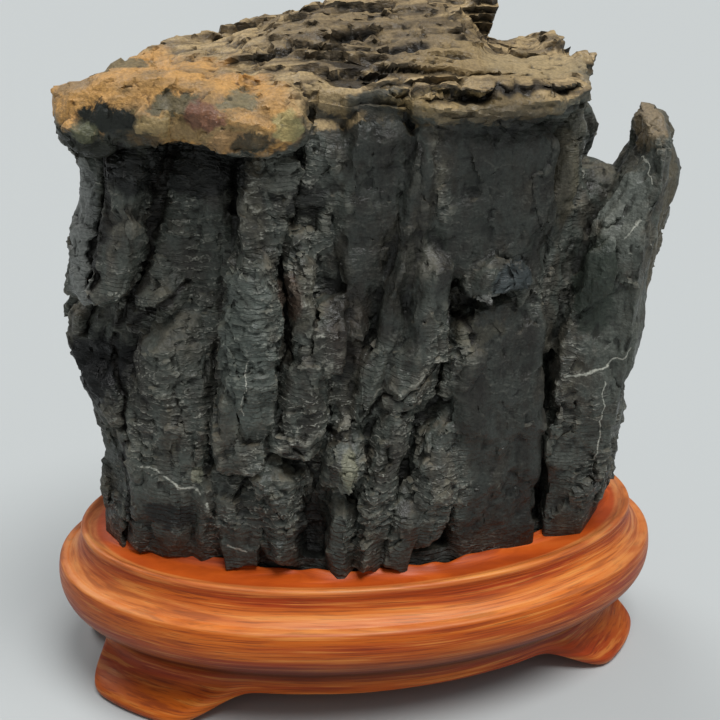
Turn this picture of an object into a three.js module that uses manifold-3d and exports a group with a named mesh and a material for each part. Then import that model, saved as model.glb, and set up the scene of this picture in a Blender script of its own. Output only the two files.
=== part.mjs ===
// A suseok viewing stone: a crag of dark, upright slate beds with a weathered top, standing in a
// carved wooden stand. Millimetres, +Z up, the front of the stone towards -Y.
// The origin is on the table, under the middle of the stand.
import * as THREE from "three";
import Module from "manifold-3d";

const wasm = await Module();
wasm.setup();

// Driving dimensions of the stand.
const RIM_HALF_LENGTH = 91.5;
const RIM_HALF_DEPTH = 54;
const RIM_HEIGHT = 50.5;
const SHELF_HEIGHT = 48;
const SEAT_HEIGHT = 42;
const APRON_HEIGHT = 8;
const STAND_STEPS = 64;
const FOOT_ANGLES = [26, 150, 212, 336];
const FOOT_HALF_ANGLE = 14;
const FOOT_RAMP_ANGLE = 13;

// Driving dimensions of the stone.
const STONE_TOP = 221;
const ROOT_TOP = 54;
const ROOT_GAP = 0.6;
const ROOT_FLOOR_GAP = 0.3;
const BEDS_FOOT = 49;
const SLAB_STEP = 24;
const TIP_LENGTH = 9;
const TIP_WIDTH = 0.62;
const TIP_ASIDE = 0.22;
const BLUNT_END = 4;
const BLUNT_WIDTH = 0.8;
const TOP_BED = 167;
const TOP_UNDERCUT = 13;
const TOP_STEP = 13;
const BED_COUNT = 8;
const CRACK_DEPTH = 3.6;

// A repeatable source of numbers from -1 to 1.
function wobble(seed) {
  let state = (seed * 2654435761) >>> 0;
  return () => {
    state = (state + 0x6d2b79f5) >>> 0;
    let t = state;
    t = Math.imul(t ^ (t >>> 15), t | 1);
    t ^= t + Math.imul(t ^ (t >>> 7), t | 61);
    return (((t ^ (t >>> 14)) >>> 0) / 4294967296) * 2 - 1;
  };
}

// Value of a broken line, given as [position, value, value...] rows, at a position.
function along(rows, at) {
  const last = rows.length - 1;
  const i = Math.min(last - 1, Math.max(0, rows.findIndex((row) => row[0] > at) - 1));
  const after = at >= rows[last][0] ? last - 1 : i;
  const [low, high] = [rows[after], rows[after + 1]];
  const share = THREE.MathUtils.clamp((at - low[0]) / (high[0] - low[0]), 0, 1);
  return low.slice(1).map((value, k) => THREE.MathUtils.lerp(value, high[k + 1], share));
}

// A closed solid through rings of points, each ring with the same number of points.
function loft(rings) {
  const sides = rings[0].length;
  const centre = (ring) => ring.reduce((sum, p) => sum.add(p), new THREE.Vector3()).divideScalar(sides);
  const points = [...rings.flat(), centre(rings[0]), centre(rings.at(-1))];
  const [bottom, top] = [points.length - 2, points.length - 1];
  const faces = [];
  for (let k = 0; k < sides; k++) {
    const next = (k + 1) % sides;
    faces.push([bottom, next, k]);
    for (let i = 0; i + 1 < rings.length; i++) {
      const [a, b] = [i * sides + k, i * sides + next];
      faces.push([a, b, b + sides], [a, b + sides, a + sides]);
    }
    const end = (rings.length - 1) * sides;
    faces.push([top, end + k, end + next]);
  }
  const vertProperties = new Float32Array(points.flatMap((p) => p.toArray()));
  const made = (order) =>
    new wasm.Manifold(new wasm.Mesh({ numProp: 3, vertProperties, triVerts: new Uint32Array(order.flat()) }));
  const solid = made(faces);
  return solid.volume() > 0 ? solid : made(faces.map(([a, b, c]) => [a, c, b]));
}

// The solids as one, without any small void that they close in between them.
function join(solids) {
  const whole = solids.reduce((sum, solid) => sum.add(solid));
  return whole.decompose().reduce((best, body) => (body.volume() > best.volume() ? body : best));
}

function meshOf(name, solid, material) {
  const { vertProperties, triVerts } = solid.getMesh();
  const geometry = new THREE.BufferGeometry();
  geometry.setAttribute("position", new THREE.BufferAttribute(vertProperties, 3));
  geometry.setIndex(new THREE.BufferAttribute(triVerts, 1));
  const mesh = new THREE.Mesh(geometry, material);
  mesh.name = name;
  return mesh;
}

// Front faces of a slab of rock, as [across, sunk] pairs: across runs from -1 to 1 over its width,
// and sunk is the share of its relief by which that edge lies behind the face.
const FORMS = {
  flat: [[-1, 1], [-0.84, 0.15], [0.1, 0], [0.82, 0.12], [1, 1]],
  ridge: [[-1, 1], [-0.72, 0.5], [-0.12, 0], [0.48, 0.38], [1, 1]],
  round: [[-1, 1], [-0.76, 0.36], [-0.2, 0], [0.42, 0.1], [0.84, 0.5], [1, 1]],
  left: [[-1, 0.75], [-0.7, 0], [0.1, 0.3], [1, 1]],
};

// One upright slab. path holds [z, x, y, width] rows from foot to top, with y at its front face.
// turn is the way that the face looks, in degrees from -Y towards +X. Its top narrows and leans
// back over the length of its tip, and a slab that hangs free below has a blunt lower end.
function slab(shape, seed) {
  const { form, turn, path, relief = 5, root = 26, chip = 0.9, slant = 0, tip = TIP_LENGTH } = shape;
  const random = wobble(seed + 11);
  const angle = THREE.MathUtils.degToRad(turn);
  const out = new THREE.Vector3(Math.sin(angle), -Math.cos(angle), 0);
  const across = new THREE.Vector3(Math.cos(angle), Math.sin(angle), 0);
  const [foot, head] = [path[0][0], path.at(-1)[0]];
  const shoulder = head - tip;
  const seated = foot < ROOT_TOP;
  const steps = Math.max(1, Math.round((shoulder - foot) / SLAB_STEP));
  const levels = Array.from({ length: steps + 1 }, (_, i) => foot + ((shoulder - foot) * i) / steps);
  if (!seated) levels.splice(1, 0, foot + BLUNT_END);
  if (tip > 0) levels.push(head);
  const rings = levels.map((z, i) => {
    const [x, y, width] = along(path, z);
    const atFoot = i === 0;
    const atTip = tip > 0 && i === levels.length - 1;
    const rim = atTip ? TIP_WIDTH : atFoot && !seated ? BLUNT_WIDTH : 1;
    const back = atTip ? relief : atFoot && !seated ? relief / 2 : 0;
    const aside = atTip ? random() * width * TIP_ASIDE : 0;
    const front = FORMS[form].map(([a, sunk]) => {
      const side = (a * width * rim) / 2 + aside + random() * chip * 0.6;
      const depth = -back - sunk * relief + random() * chip;
      const tilt = atFoot || atTip ? slant * a + random() * chip * 1.5 : 0;
      const lift = atFoot ? tilt + Math.abs(slant) + chip * 1.5 : tilt;
      return new THREE.Vector3(x, y, z + lift).addScaledVector(across, side).addScaledVector(out, depth);
    });
    const rear = [0.9, -0.9].map((a) =>
      new THREE.Vector3(x, y, z).addScaledVector(across, (a * width) / 2).addScaledVector(out, -root),
    );
    return [...front, ...rear];
  });
  return loft(rings);
}

// Top of the stone: its height along the front edge and along the crest, left to right.
const FRONT_TOP = [[-95, 184], [-80, 190], [-55, 194], [-20, 195], [8, 193], [30, 191], [60, 190]];
const CREST_TOP = [
  [-90, 186], [-78, 192], [-68, 199], [-52, 206], [-34, 211], [-8, 215], [12, 219], [35, STONE_TOP],
  [38, 205], [54, 203], [60, 205], [66, 200],
];
const FRONT_Y = -40;
const CREST_Y = 14;
const BACK_FALL = 0.35;

function topHeight(x, y) {
  const share = THREE.MathUtils.clamp((y - FRONT_Y) / (CREST_Y - FRONT_Y), 0, 1);
  const [front] = along(FRONT_TOP, x);
  const [crest] = along(CREST_TOP, x);
  return THREE.MathUtils.lerp(front, crest, share ** 0.8) - Math.max(0, y - CREST_Y) * BACK_FALL;
}

// Front and back edges of the plateau, from its left end to its right end.
const TOP_EDGES = [
  [-91, -4, 6], [-86, -9, 14], [-72, -18, 24], [-52, -27, 32], [-30, -33, 38], [-14, -37, 40], [8, -38, 40],
  [40, -37, 36], [56, -29, 29], [64, -18, 19],
];

// How far the beds of the plateau are opened by weather: hardly at the left, fully at the right.
const OPENED = [[-93, 0.1], [-58, 0.25], [-34, 0.8], [-10, 1], [64, 1]];

// The plateau, whose beds run left to right. Each bed stands up behind a crack at its front edge.
function plateau() {
  const random = wobble(301);
  const phases = Array.from({ length: BED_COUNT + 1 }, () => random() * Math.PI);
  const [left, right] = [TOP_EDGES[0][0], TOP_EDGES.at(-1)[0]];
  const steps = Math.round((right - left) / TOP_STEP);
  const rings = Array.from({ length: steps + 1 }, (_, i) => {
    const x = left + ((right - left) * i) / steps;
    const [front, back] = along(TOP_EDGES, x);
    const [opened] = along(OPENED, x);
    const edge = (b) => front + ((back - front) * (b + 0.3 * Math.sin(x / 21 + phases[b]))) / BED_COUNT;
    const points = [[front + TOP_UNDERCUT, TOP_BED + random()]];
    for (let b = 0; b < BED_COUNT; b++) {
      const [from, to] = [b === 0 ? front : edge(b), b + 1 === BED_COUNT ? back : edge(b + 1)];
      const lift = opened * (1.8 * Math.sin(x / 15 + 2 * phases[b]) + random());
      const crack = opened * CRACK_DEPTH * (0.6 + 0.4 * random());
      points.push([from, topHeight(x, from) - crack]);
      points.push([from + (to - from) * 0.2, topHeight(x, from) + lift]);
      points.push([from + (to - from) * 0.85, topHeight(x, to) + lift - 1.2]);
    }
    points.push([back, topHeight(x, back) - 6], [back - 2, TOP_BED + random()]);
    return points.map(([y, z]) => new THREE.Vector3(x + random() * 0.8, y, z));
  });
  return loft(rings);
}

// Plan of the buried root of the stone, left end first and then along the front.
const ROOT_PLAN = [
  [-80, 2], [-77, -12], [-66, -20], [-52, -28], [-38, -34], [-16, -42], [12, -42], [36, -35], [55, -28],
  [70, -20], [80, -8], [80, 8], [66, 24], [38, 36], [4, 42], [-30, 39], [-56, 30], [-74, 16],
];

// A ring of the stone's plan at a height, moved outwards or inwards by a distance.
function planRing(plan, z, grow = 0) {
  return plan.map(([x, y]) => {
    const reach = 1 + grow / Math.hypot(x, y);
    return new THREE.Vector3(x * reach, y * reach, z);
  });
}

// The mass behind the slabs. Its right end is lower, where the notch before the spire opens.
function core() {
  const high = ROOT_PLAN.map(([x, y]) => [Math.min(x, 58) - (x < -70 ? 5 : 0), y * 0.9 + 2]);
  return join([
    loft([planRing(ROOT_PLAN, ROOT_TOP, -7), planRing(ROOT_PLAN, 110, -6), planRing(ROOT_PLAN, 158, -9)]),
    loft([planRing(high, 150, -7), planRing(high, 172, -6), planRing(high, 181, -12)]),
    loft([planRing(ROOT_PLAN, SEAT_HEIGHT), planRing(ROOT_PLAN, ROOT_TOP, -1)]),
  ]);
}

// Slabs of the front face, left to right. Rows of path: height, x, y of the face, width.
const LEFT_SLABS = [
  {
    form: "round", turn: -62, relief: 5,
    path: [[127, -88, -6, 12], [145, -90, -6, 16], [160, -87, -7, 15], [182, -86, -9, 16]],
  },
  {
    form: "ridge", turn: -75, relief: 6, root: 20,
    path: [[98, -83, 2, 12], [112, -87, 3, 18], [132, -88, 4, 18]],
  },
  {
    form: "flat", turn: -38, relief: 5, slant: 2,
    path: [[130, -83, -20, 9], [150, -79, -22, 10], [166, -76, -23, 11], [184, -74, -24, 12]],
  },
  {
    form: "flat", turn: -68, relief: 4,
    path: [[49, -83, -8, 16], [70, -84, -7, 18], [96, -84, -6, 18], [116, -81, -4, 14]],
  },
  { form: "flat", turn: -35, relief: 4, path: [[50, -76, -20, 9], [80, -78, -19, 8], [112, -78, -17, 8]] },
  {
    form: "round", turn: -22, relief: 7, chip: 0.7,
    path: [[50, -65, -25, 23], [75, -66, -27, 24], [105, -66, -28, 23], [128, -63, -26, 20]],
  },
  {
    form: "flat", turn: -20, relief: 4,
    path: [[118, -62, -19, 28], [150, -61, -20, 29], [181, -60, -22, 30]],
  },
  {
    form: "round", turn: -25, relief: 5, slant: -3,
    path: [[128, -68, -24, 12], [138, -67, -26, 13], [145, -66, -24, 12]],
  },
  { form: "ridge", turn: -18, relief: 5, path: [[49, -56, -30, 15], [62, -57, -32, 14], [82, -53, -33, 10]] },
  { form: "flat", turn: -15, relief: 5, path: [[50, -45, -36, 12], [66, -47, -35, 14], [84, -46, -34, 15]] },
  {
    form: "flat", turn: -14, relief: 7, slant: 2,
    path: [
      [80, -46, -37, 16], [110, -44, -40, 17], [135, -42, -40, 15], [150, -41, -39, 9], [157, -39, -37, 6],
    ],
  },
  {
    form: "flat", turn: -8, relief: 6,
    path: [[146, -38, -35, 12], [163, -36, -37, 12], [168, -34, -38, 15], [182, -34, -38, 15]],
  },
];
const MIDDLE_SLABS = [
  { form: "round", turn: -5, relief: 6, path: [[118, -28, -41, 7], [140, -28, -42, 8], [155, -27, -42, 7]] },
  {
    form: "round", turn: -6, relief: 7, slant: 2,
    path: [[86, -30, -42, 15], [104, -27, -44, 16], [120, -25, -43, 14], [127, -24, -42, 10]],
  },
  {
    form: "ridge", turn: -12, relief: 6, slant: -3,
    path: [[49, -33, -41, 14], [68, -36, -42, 17], [90, -36, -40, 14]],
  },
  {
    form: "flat", turn: 0, relief: 6, slant: 2,
    path: [[112, -19, -42, 9], [128, -19, -44, 10], [138, -18, -43, 9]],
  },
  {
    form: "ridge", turn: 14, relief: 5, slant: 4,
    path: [[121, -12, -42, 7], [129, -11, -43, 10], [136, -9, -41, 11]],
  },
  {
    form: "flat", turn: -4, relief: 4,
    path: [[120, -20, -33, 15], [150, -20, -33, 13], [168, -20, -34, 12]],
  },
  {
    form: "flat", turn: -2, relief: 4,
    path: [[160, -21, -36, 11], [176, -21, -38, 11], [190, -21, -38, 11]],
  },
  {
    form: "flat", turn: 6, relief: 4, chip: 0.6,
    path: [[122, -8, -36, 17], [150, -7, -38, 19], [175, -5, -40, 20], [191, -4, -40, 21]],
  },
  {
    form: "ridge", turn: -14, relief: 6,
    path: [[98, -10, -42, 10], [120, -4, -43, 10], [146, 1, -43, 9], [172, 5, -42, 8], [186, 7, -41, 8]],
  },
  {
    form: "round", turn: -8, relief: 6, slant: 3,
    path: [[76, -16, -44, 11], [88, -15, -46, 12], [99, -13, -44, 10]],
  },
  { form: "round", turn: -4, relief: 5, path: [[49, -16, -46, 8], [62, -16, -47, 8], [78, -15, -44, 7]] },
  {
    form: "ridge", turn: -10, relief: 6, slant: -2,
    path: [[49, -9, -48, 9], [70, -7, -48, 9], [92, -3, -46, 9], [112, 2, -46, 10]],
  },
  {
    form: "ridge", turn: 8, relief: 7, slant: 3,
    path: [[102, 3, -45, 15], [115, 7, -48, 17], [130, 9, -47, 15]],
  },
  {
    form: "round", turn: 2, relief: 7, slant: 3,
    path: [[112, 8, -45, 13], [135, 10, -46, 15], [149, 11, -46, 13], [156, 10, -44, 8]],
  },
  { form: "flat", turn: 4, relief: 6, slant: -2, path: [[49, 1, -47, 9], [62, 2, -47, 9], [78, 6, -45, 9]] },
  {
    form: "round", turn: 8, relief: 7, slant: 4,
    path: [[53, 12, -45, 15], [68, 13, -47, 18], [90, 15, -45, 15], [104, 16, -43, 10]],
  },
  { form: "ridge", turn: -6, relief: 4, path: [[148, 8, -41, 9], [170, 8, -42, 9], [189, 9, -42, 9]] },
];
const RIGHT_SLABS = [
  {
    form: "flat", turn: 8, relief: 3, chip: 0.5,
    path: [[140, 31, -38, 36], [165, 29, -40, 37], [189, 28, -41, 38]],
  },
  {
    form: "left", turn: 10, relief: 7, slant: -3,
    path: [[132, 30, -40, 18], [142, 31, -44, 19], [151, 34, -41, 15]],
  },
  {
    form: "flat", turn: 14, relief: 3, chip: 0.5,
    path: [[49, 35, -38, 30], [80, 34, -40, 31], [110, 33, -41, 30], [134, 33, -41, 29]],
  },
  {
    form: "ridge", turn: 4, relief: 5, slant: 2,
    path: [[104, 21, -44, 12], [118, 23, -45, 14], [127, 23, -43, 12]],
  },
  {
    form: "left", turn: 16, relief: 6, root: 22,
    path: [[128, 42, -37, 14], [145, 46, -36, 14], [160, 53, -31, 14], [173, 58, -26, 12]],
  },
  {
    form: "flat", turn: 22, relief: 4, root: 22,
    path: [[110, 47, -33, 14], [140, 55, -29, 17], [168, 64, -22, 13]],
  },
  {
    form: "flat", turn: 62, relief: 4, root: 22,
    path: [[158, 55, -27, 12], [180, 57, -25, 14], [199, 61, -22, 13]],
  },
  {
    form: "ridge", turn: 75, relief: 4, root: 22,
    path: [[150, 58, -10, 16], [178, 61, -8, 18], [203, 64, -6, 15]],
  },
  {
    form: "flat", turn: 92, relief: 5, root: 22,
    path: [[147, 58, 6, 13], [172, 63, 7, 15], [199, 64, 8, 13]],
  },
  {
    form: "ridge", turn: 118, relief: 4, root: 22,
    path: [[142, 54, 21, 14], [170, 59, 21, 17], [193, 60, 20, 14]],
  },
];

// The spire at the right, by height: left front, ridge, a step behind the ridge, right, right rear
// and left rear corners.
const SPIRE_PLANS = [
  [49.6, [54, -32], [66, -31], [69, -27], [77, -16], [76, 0], [58, 4]],
  [72, [53, -35], [69, -36], [72, -31], [83, -15], [82, 1], [58, 6]],
  [98, [52.5, -37], [73, -38], [76, -33], [88, -14], [85, 2], [59, 6]],
  [116, [53.5, -37], [76, -38], [79, -32], [90, -13], [86, 1], [60, 5]],
  [134, [58, -35], [78, -37], [80, -31], [92, -14], [87, 0], [63, 2]],
  [152, [63, -33], [80, -35], [83, -30], [95, -15], [89, -3], [67, -3]],
  [166, [67, -31], [81, -33], [84, -29], [96, -15], [90, -6], [71, -8]],
  [176, [71, -30], [82, -31], [84, -28], [91, -17], [87, -10], [75, -13]],
  [184, [74, -28], [82, -28], [84, -26], [86, -20], [83, -15], [77, -18]],
  [188, [77, -25], [80, -25], [81, -24], [82, -21], [80, -19], [78, -21]],
];

function spire() {
  const random = wobble(77);
  const rings = SPIRE_PLANS.map(([z, ...corners]) =>
    corners.map(([x, y]) => new THREE.Vector3(x + random() * 0.5, y + random() * 0.5, z + random())),
  );
  return loft(rings);
}

// The thick, overhanging lip of the top at the left, and the thinner ledge at the right, as rows of
// x, y of the front, lower and upper height.
const LIP_STATIONS = [
  [-92, -12, 180, 192], [-88, -20, 177, 195], [-76, -29, 179, 198], [-62, -35, 182, 197],
  [-50, -41, 181, 197], [-38, -44, 180, 196], [-29, -46, 183, 197], [-26, -42, 184, 194],
];
const LEDGE_STATIONS = [
  [3, -42, 187, 197], [12, -45, 186, 197], [28, -46, 188, 196], [44, -44, 188, 196],
  [56, -38, 190, 197], [60, -30, 190, 198],
];

// depth is how far a ledge reaches back into the stone, and roll how far its upper edge is rounded.
function ledge({ stations, depth, roll }, seed) {
  const random = wobble(seed);
  const rings = stations.map(([x, y, low, high]) => {
    const thick = high - low;
    const section = [
      [depth, low - 4], [3, low], [0.4, low + thick * 0.25], [0, low + thick * 0.6], [roll, high],
      [depth * 0.6, high + 2], [depth, high],
    ];
    return section.map(([back, z]) => new THREE.Vector3(x, y + back + random() * 0.5, z + random() * 0.7));
  });
  return loft(rings);
}

// The back and the two ends behind the front slabs are plainer beds, spaced round the plan: tall
// ones that reach the plateau, and low ones that stand before them.
const PLAN_HALF_LENGTH = 80;
const PLAN_HALF_DEPTH = 43;
const BACK_BEARINGS = [-12, 192];
const BACK_LEAN = 0.04;
const BACK_Y = 30;
const RIGHT_END_BEARING = 38;
const RIGHT_END_TOP = 152;
const TALL = { count: 11, width: 22, forms: ["flat", "round", "ridge"] };
const LOW = { count: 6, width: 12, top: 112, from: 24, proud: 3, forms: ["ridge", "flat"] };

function backSlab(bearing, width, high, proud, random, form) {
  const angle = THREE.MathUtils.degToRad(bearing);
  const normal = Math.atan2(Math.sin(angle) / PLAN_HALF_DEPTH, Math.cos(angle) / PLAN_HALF_LENGTH);
  const lean = random() * BACK_LEAN;
  const levels = [BEDS_FOOT + 2 * Math.abs(random()), 80, 115, high];
  const path = levels.map((z, k) => {
    const reach = proud + random() - (k > 1 ? 1.5 : 0);
    const shift = lean * (z - BEDS_FOOT);
    const x = (PLAN_HALF_LENGTH + reach) * Math.cos(angle) - shift * Math.sin(angle);
    const y = (PLAN_HALF_DEPTH + reach) * Math.sin(angle) + shift * Math.cos(angle);
    return [z, x, y, width * (1 + random() * 0.15)];
  });
  const turn = THREE.MathUtils.radToDeg(normal) + 90;
  return { form, turn, relief: 5, root: 24, slant: random() * 3, path };
}

function backSlabs() {
  const random = wobble(5);
  const [from, to] = BACK_BEARINGS;
  const tall = Array.from({ length: TALL.count }, (_, i) => {
    const bearing = from + ((to - from) * (i + 0.5)) / TALL.count;
    const x = PLAN_HALF_LENGTH * Math.cos(THREE.MathUtils.degToRad(bearing));
    const atRightEnd = bearing < RIGHT_END_BEARING;
    const high = atRightEnd ? RIGHT_END_TOP + random() * 8 : topHeight(x, BACK_Y) - 6 + random() * 5;
    const width = TALL.width + 4 * random();
    const proud = 1.6 * random();
    return { ...backSlab(bearing, width, high, proud, random, TALL.forms[i % TALL.forms.length]), tip: 5 };
  });
  const low = Array.from({ length: LOW.count }, (_, i) => {
    const bearing = LOW.from + ((to - LOW.from) * (i + 0.5 + 0.3 * random())) / LOW.count;
    const high = LOW.top + random() * 24;
    const form = LOW.forms[i % LOW.forms.length];
    return { ...backSlab(bearing, LOW.width, high, LOW.proud, random, form), tip: 12 };
  });
  return [...tall, ...low];
}

function stone() {
  const slabs = [...LEFT_SLABS, ...MIDDLE_SLABS, ...RIGHT_SLABS, ...backSlabs()];
  return join([
    core(),
    ...slabs.map(slab),
    plateau(),
    spire(),
    ledge({ stations: LIP_STATIONS, depth: 22, roll: 5 }, 21),
    ledge({ stations: LEDGE_STATIONS, depth: 16, roll: 3 }, 22),
  ]);
}

// Section of the stand from under its middle to its seat, as distances out from the rim's crest and
// heights. The apron runs between the feet, and foot is the section through the middle of a foot.
const STAND_SECTION = [
  { apron: [-24, APRON_HEIGHT] },
  { apron: [-11, APRON_HEIGHT], foot: [-12, APRON_HEIGHT - 0.2] },
  { apron: [-9, APRON_HEIGHT], foot: [-10, 0] },
  { apron: [-6.4, APRON_HEIGHT + 0.3], foot: [3.6, 0] },
  { apron: [-5.6, APRON_HEIGHT + 1.6], foot: [6.2, 2.6] },
  { apron: [-5, 11.6], foot: [5.4, 7] },
  { apron: [-4.2, 14], foot: [0.8, 11.5] },
  { apron: [-1.6, 18], foot: [-1.6, 17.4] },
  { apron: [3.4, 22.6] },
  { apron: [7.8, 28] },
  { apron: [9.4, 33.5] },
  { apron: [8.2, 38.6] },
  { apron: [5.8, 41.4] },
  { apron: [4.2, 42.2] },
  { apron: [1.2, 46.6] },
  { apron: [1.5, 49] },
  { apron: [0.2, RIM_HEIGHT] },
  { apron: [-2.4, 49.6] },
  { apron: [-5.5, SHELF_HEIGHT] },
];

// 1 at the middle of a foot and 0 between the feet.
function footShare(degrees) {
  const nearest = Math.min(...FOOT_ANGLES.map((a) => Math.abs(((degrees - a + 540) % 360) - 180)));
  return THREE.MathUtils.smoothstep(FOOT_HALF_ANGLE + FOOT_RAMP_ANGLE - nearest, 0, FOOT_RAMP_ANGLE);
}

function standRing({ apron, foot = apron }) {
  return Array.from({ length: STAND_STEPS }, (_, k) => {
    const degrees = (360 * k) / STAND_STEPS;
    const angle = THREE.MathUtils.degToRad(degrees);
    const share = footShare(degrees);
    const reach = THREE.MathUtils.lerp(apron[0], foot[0], share);
    const z = THREE.MathUtils.lerp(apron[1], foot[1], share);
    const normal = new THREE.Vector3(Math.cos(angle) / RIM_HALF_LENGTH, Math.sin(angle) / RIM_HALF_DEPTH, 0);
    const rim = new THREE.Vector3(RIM_HALF_LENGTH * Math.cos(angle), RIM_HALF_DEPTH * Math.sin(angle), z);
    return rim.addScaledVector(normal.normalize(), reach);
  });
}

function stand() {
  const block = loft(STAND_SECTION.map(standRing));
  const levels = [SEAT_HEIGHT - ROOT_FLOOR_GAP, RIM_HEIGHT];
  const seat = loft(levels.map((z) => planRing(ROOT_PLAN, z, ROOT_GAP)));
  return block.subtract(seat);
}

const slate = new THREE.MeshStandardMaterial({ color: 0x33342f, roughness: 0.85, metalness: 0 });
const rosewood = new THREE.MeshStandardMaterial({ color: 0xa24c22, roughness: 0.4, metalness: 0 });

const viewingStone = new THREE.Group();
viewingStone.add(meshOf("stone", stone(), slate), meshOf("stand", stand(), rosewood));

export default viewingStone;
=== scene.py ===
"""A suseok viewing stone of dark upright slate with an ochre weathered top, in a carved rosewood stand.

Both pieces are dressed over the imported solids. Sizes are in millimetres until they are multiplied by MM.
X runs along the stand, -Y is the stone's front and Z is up.
"""

import math

import bmesh
import bpy
import numpy as np
from mathutils import Matrix, Vector
from mathutils import noise as gouges


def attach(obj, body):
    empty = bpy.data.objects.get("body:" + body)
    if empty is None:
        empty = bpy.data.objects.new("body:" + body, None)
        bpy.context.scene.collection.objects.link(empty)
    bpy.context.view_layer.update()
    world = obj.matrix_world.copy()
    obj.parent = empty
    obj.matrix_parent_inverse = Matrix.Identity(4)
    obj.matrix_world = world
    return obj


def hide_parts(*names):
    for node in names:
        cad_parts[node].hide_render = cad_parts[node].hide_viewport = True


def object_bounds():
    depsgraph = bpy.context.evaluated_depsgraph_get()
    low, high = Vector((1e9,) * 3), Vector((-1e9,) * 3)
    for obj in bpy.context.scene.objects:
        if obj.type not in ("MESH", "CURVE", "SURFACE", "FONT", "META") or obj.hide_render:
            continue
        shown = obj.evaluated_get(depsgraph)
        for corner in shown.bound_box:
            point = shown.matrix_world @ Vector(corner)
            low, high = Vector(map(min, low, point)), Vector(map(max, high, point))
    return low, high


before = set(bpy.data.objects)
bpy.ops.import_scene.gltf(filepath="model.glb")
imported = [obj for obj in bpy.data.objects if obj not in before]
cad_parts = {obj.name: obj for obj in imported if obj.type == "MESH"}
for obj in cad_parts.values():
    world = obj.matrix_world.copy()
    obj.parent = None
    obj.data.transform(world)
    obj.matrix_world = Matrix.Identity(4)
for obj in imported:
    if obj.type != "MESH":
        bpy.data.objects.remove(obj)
cad_box = [list(corner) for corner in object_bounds()]

MM = 0.001

# The stone's surface: voxel of the working skin and the most triangles the finished piece keeps.
SKIN_VOXEL = 0.75
STONE_TRIANGLES = 196000

# The stone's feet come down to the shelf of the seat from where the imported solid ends.
FOOT_TOP = 58
FOOT_DROP = 1.4

# Gentle pulls on the outline, as centre x, z, reach x, z and shift x, z.
OUTLINE_PULLS = [
    ((-90, 111), (14, 21), (-7.2, 0)),
    ((-92, 77), (14, 14), (5.8, 0)),
    ((-88, 197), (14, 10), (0, -3)),
    ((-46, 207), (14, 8), (0, -3)),
    ((47, 208), (8, 8), (0, -4.5)),
    ((33, 215), (8, 7), (2.5, 0)),
    ((69, 174), (8, 15), (8, 0)),
    ((76, 188), (8, 6), (0, -2)),
    ((64, 192), (7, 11), (-4, 0)),
    ((44.5, 76), (4.5, 50), (3, 0)),
    ((55.5, 76), (4.5, 50), (-1, 0)),
    ((92, 110), (12, 28), (-6.4, 0)),
    ((-90, 168), (10, 11), (3.2, 0)),
    ((84, 190), (9, 10), (-2, 0)),
]

# Thin leaves of slate that stand up at the right end of the top, each as x, z points and its y from and to.
TOP_LEAVES = [
    ([(51, 184), (55, 196), (60, 202.5), (66.5, 202), (64, 198), (64.5, 194), (61, 190), (60, 182), (57, 176)], -20, -12),
    ([(49, 192), (49.5, 203), (52, 206.5), (57.5, 206.5), (59, 202), (58, 196), (56, 188)], -5, 7),
    ([(22, 200), (24, 214), (31, 220), (37, 216), (36, 208), (38, 203), (34, 198)], 4, 19),
]

# Lumps on the ochre cap, at its back left and on the column beside it, as centre and radii.
LUMPS = [
    ((-53.5, -37.6, 190.4), (4.4, 3.4, 3.4)),
    ((-65, -32.5, 187.5), (7, 3.6, 4.6)),
    ((-46, -38.8, 184.6), (7.5, 3, 3)),
    ((-84, -21.5, 184), (6, 4, 4.4)),
    ((-33, -42.8, 187), (5, 3, 4)),
    ((-71, -7, 197), (7.5, 6, 2.8)),
    ((-32, -34.5, 173.5), (6.6, 4.6, 6)),
]

# Wedges that stand out on the front or fill a gap between two columns, each as its corners.
FRONT_WEDGES = [
    [
        (77, -31, 180), (76.5, -37.5, 164), (75, -40, 144), (73, -41, 122), (72, -39, 104), (66, -28, 168),
        (60, -29, 140), (60, -30, 116), (87, -23, 172), (89, -22, 146), (87, -24, 118), (76, -14, 150),
    ],
    [
        (60, -36, 146), (66, -37, 152), (69, -37.5, 140), (63, -40.5, 133), (58, -37, 128), (61, -28, 138),
    ],
    [
        (27, -41, 149), (37, -41, 147), (43, -38.5, 139.5), (33, -44, 140), (26, -43, 137), (35, -32, 142),
    ],
    [
        (30, -31, 197.6), (57, -29, 197.8), (58, -8, 200.5), (30, -10, 199.8),
        (30, -31, 192), (57, -29, 192), (58, -8, 192), (30, -10, 192),
    ],
    [
        (23, -42, 139), (29, -44.6, 135.4), (28, -42, 133.6), (24, -43, 136), (26, -37, 136),
    ],
    [
        (-43.5, -40, 154), (-39, -42, 148), (-34, -40.5, 137), (-34, -42.8, 120), (-36.5, -41.5, 100),
        (-44, -42, 97), (-50.5, -40, 112), (-49, -38.5, 138), (-46, -40, 148), (-43, -44.4, 128),
        (-43.5, -33, 150), (-36, -33, 120), (-48, -33, 115),
    ],
    [
        (-18, -42, 90), (-13, -46.5, 91), (-11, -43, 84), (-14, -47, 81), (-18, -43, 79), (-14, -36, 85),
    ],
    [
        (-54, -23.5, 178), (-42, -21.5, 178), (-54, -24.5, 150), (-44, -24.5, 150), (-48, -25.6, 163),
        (-54, -15, 178), (-42, -14, 178), (-54, -16, 150), (-44, -16, 150),
    ],
]

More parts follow.
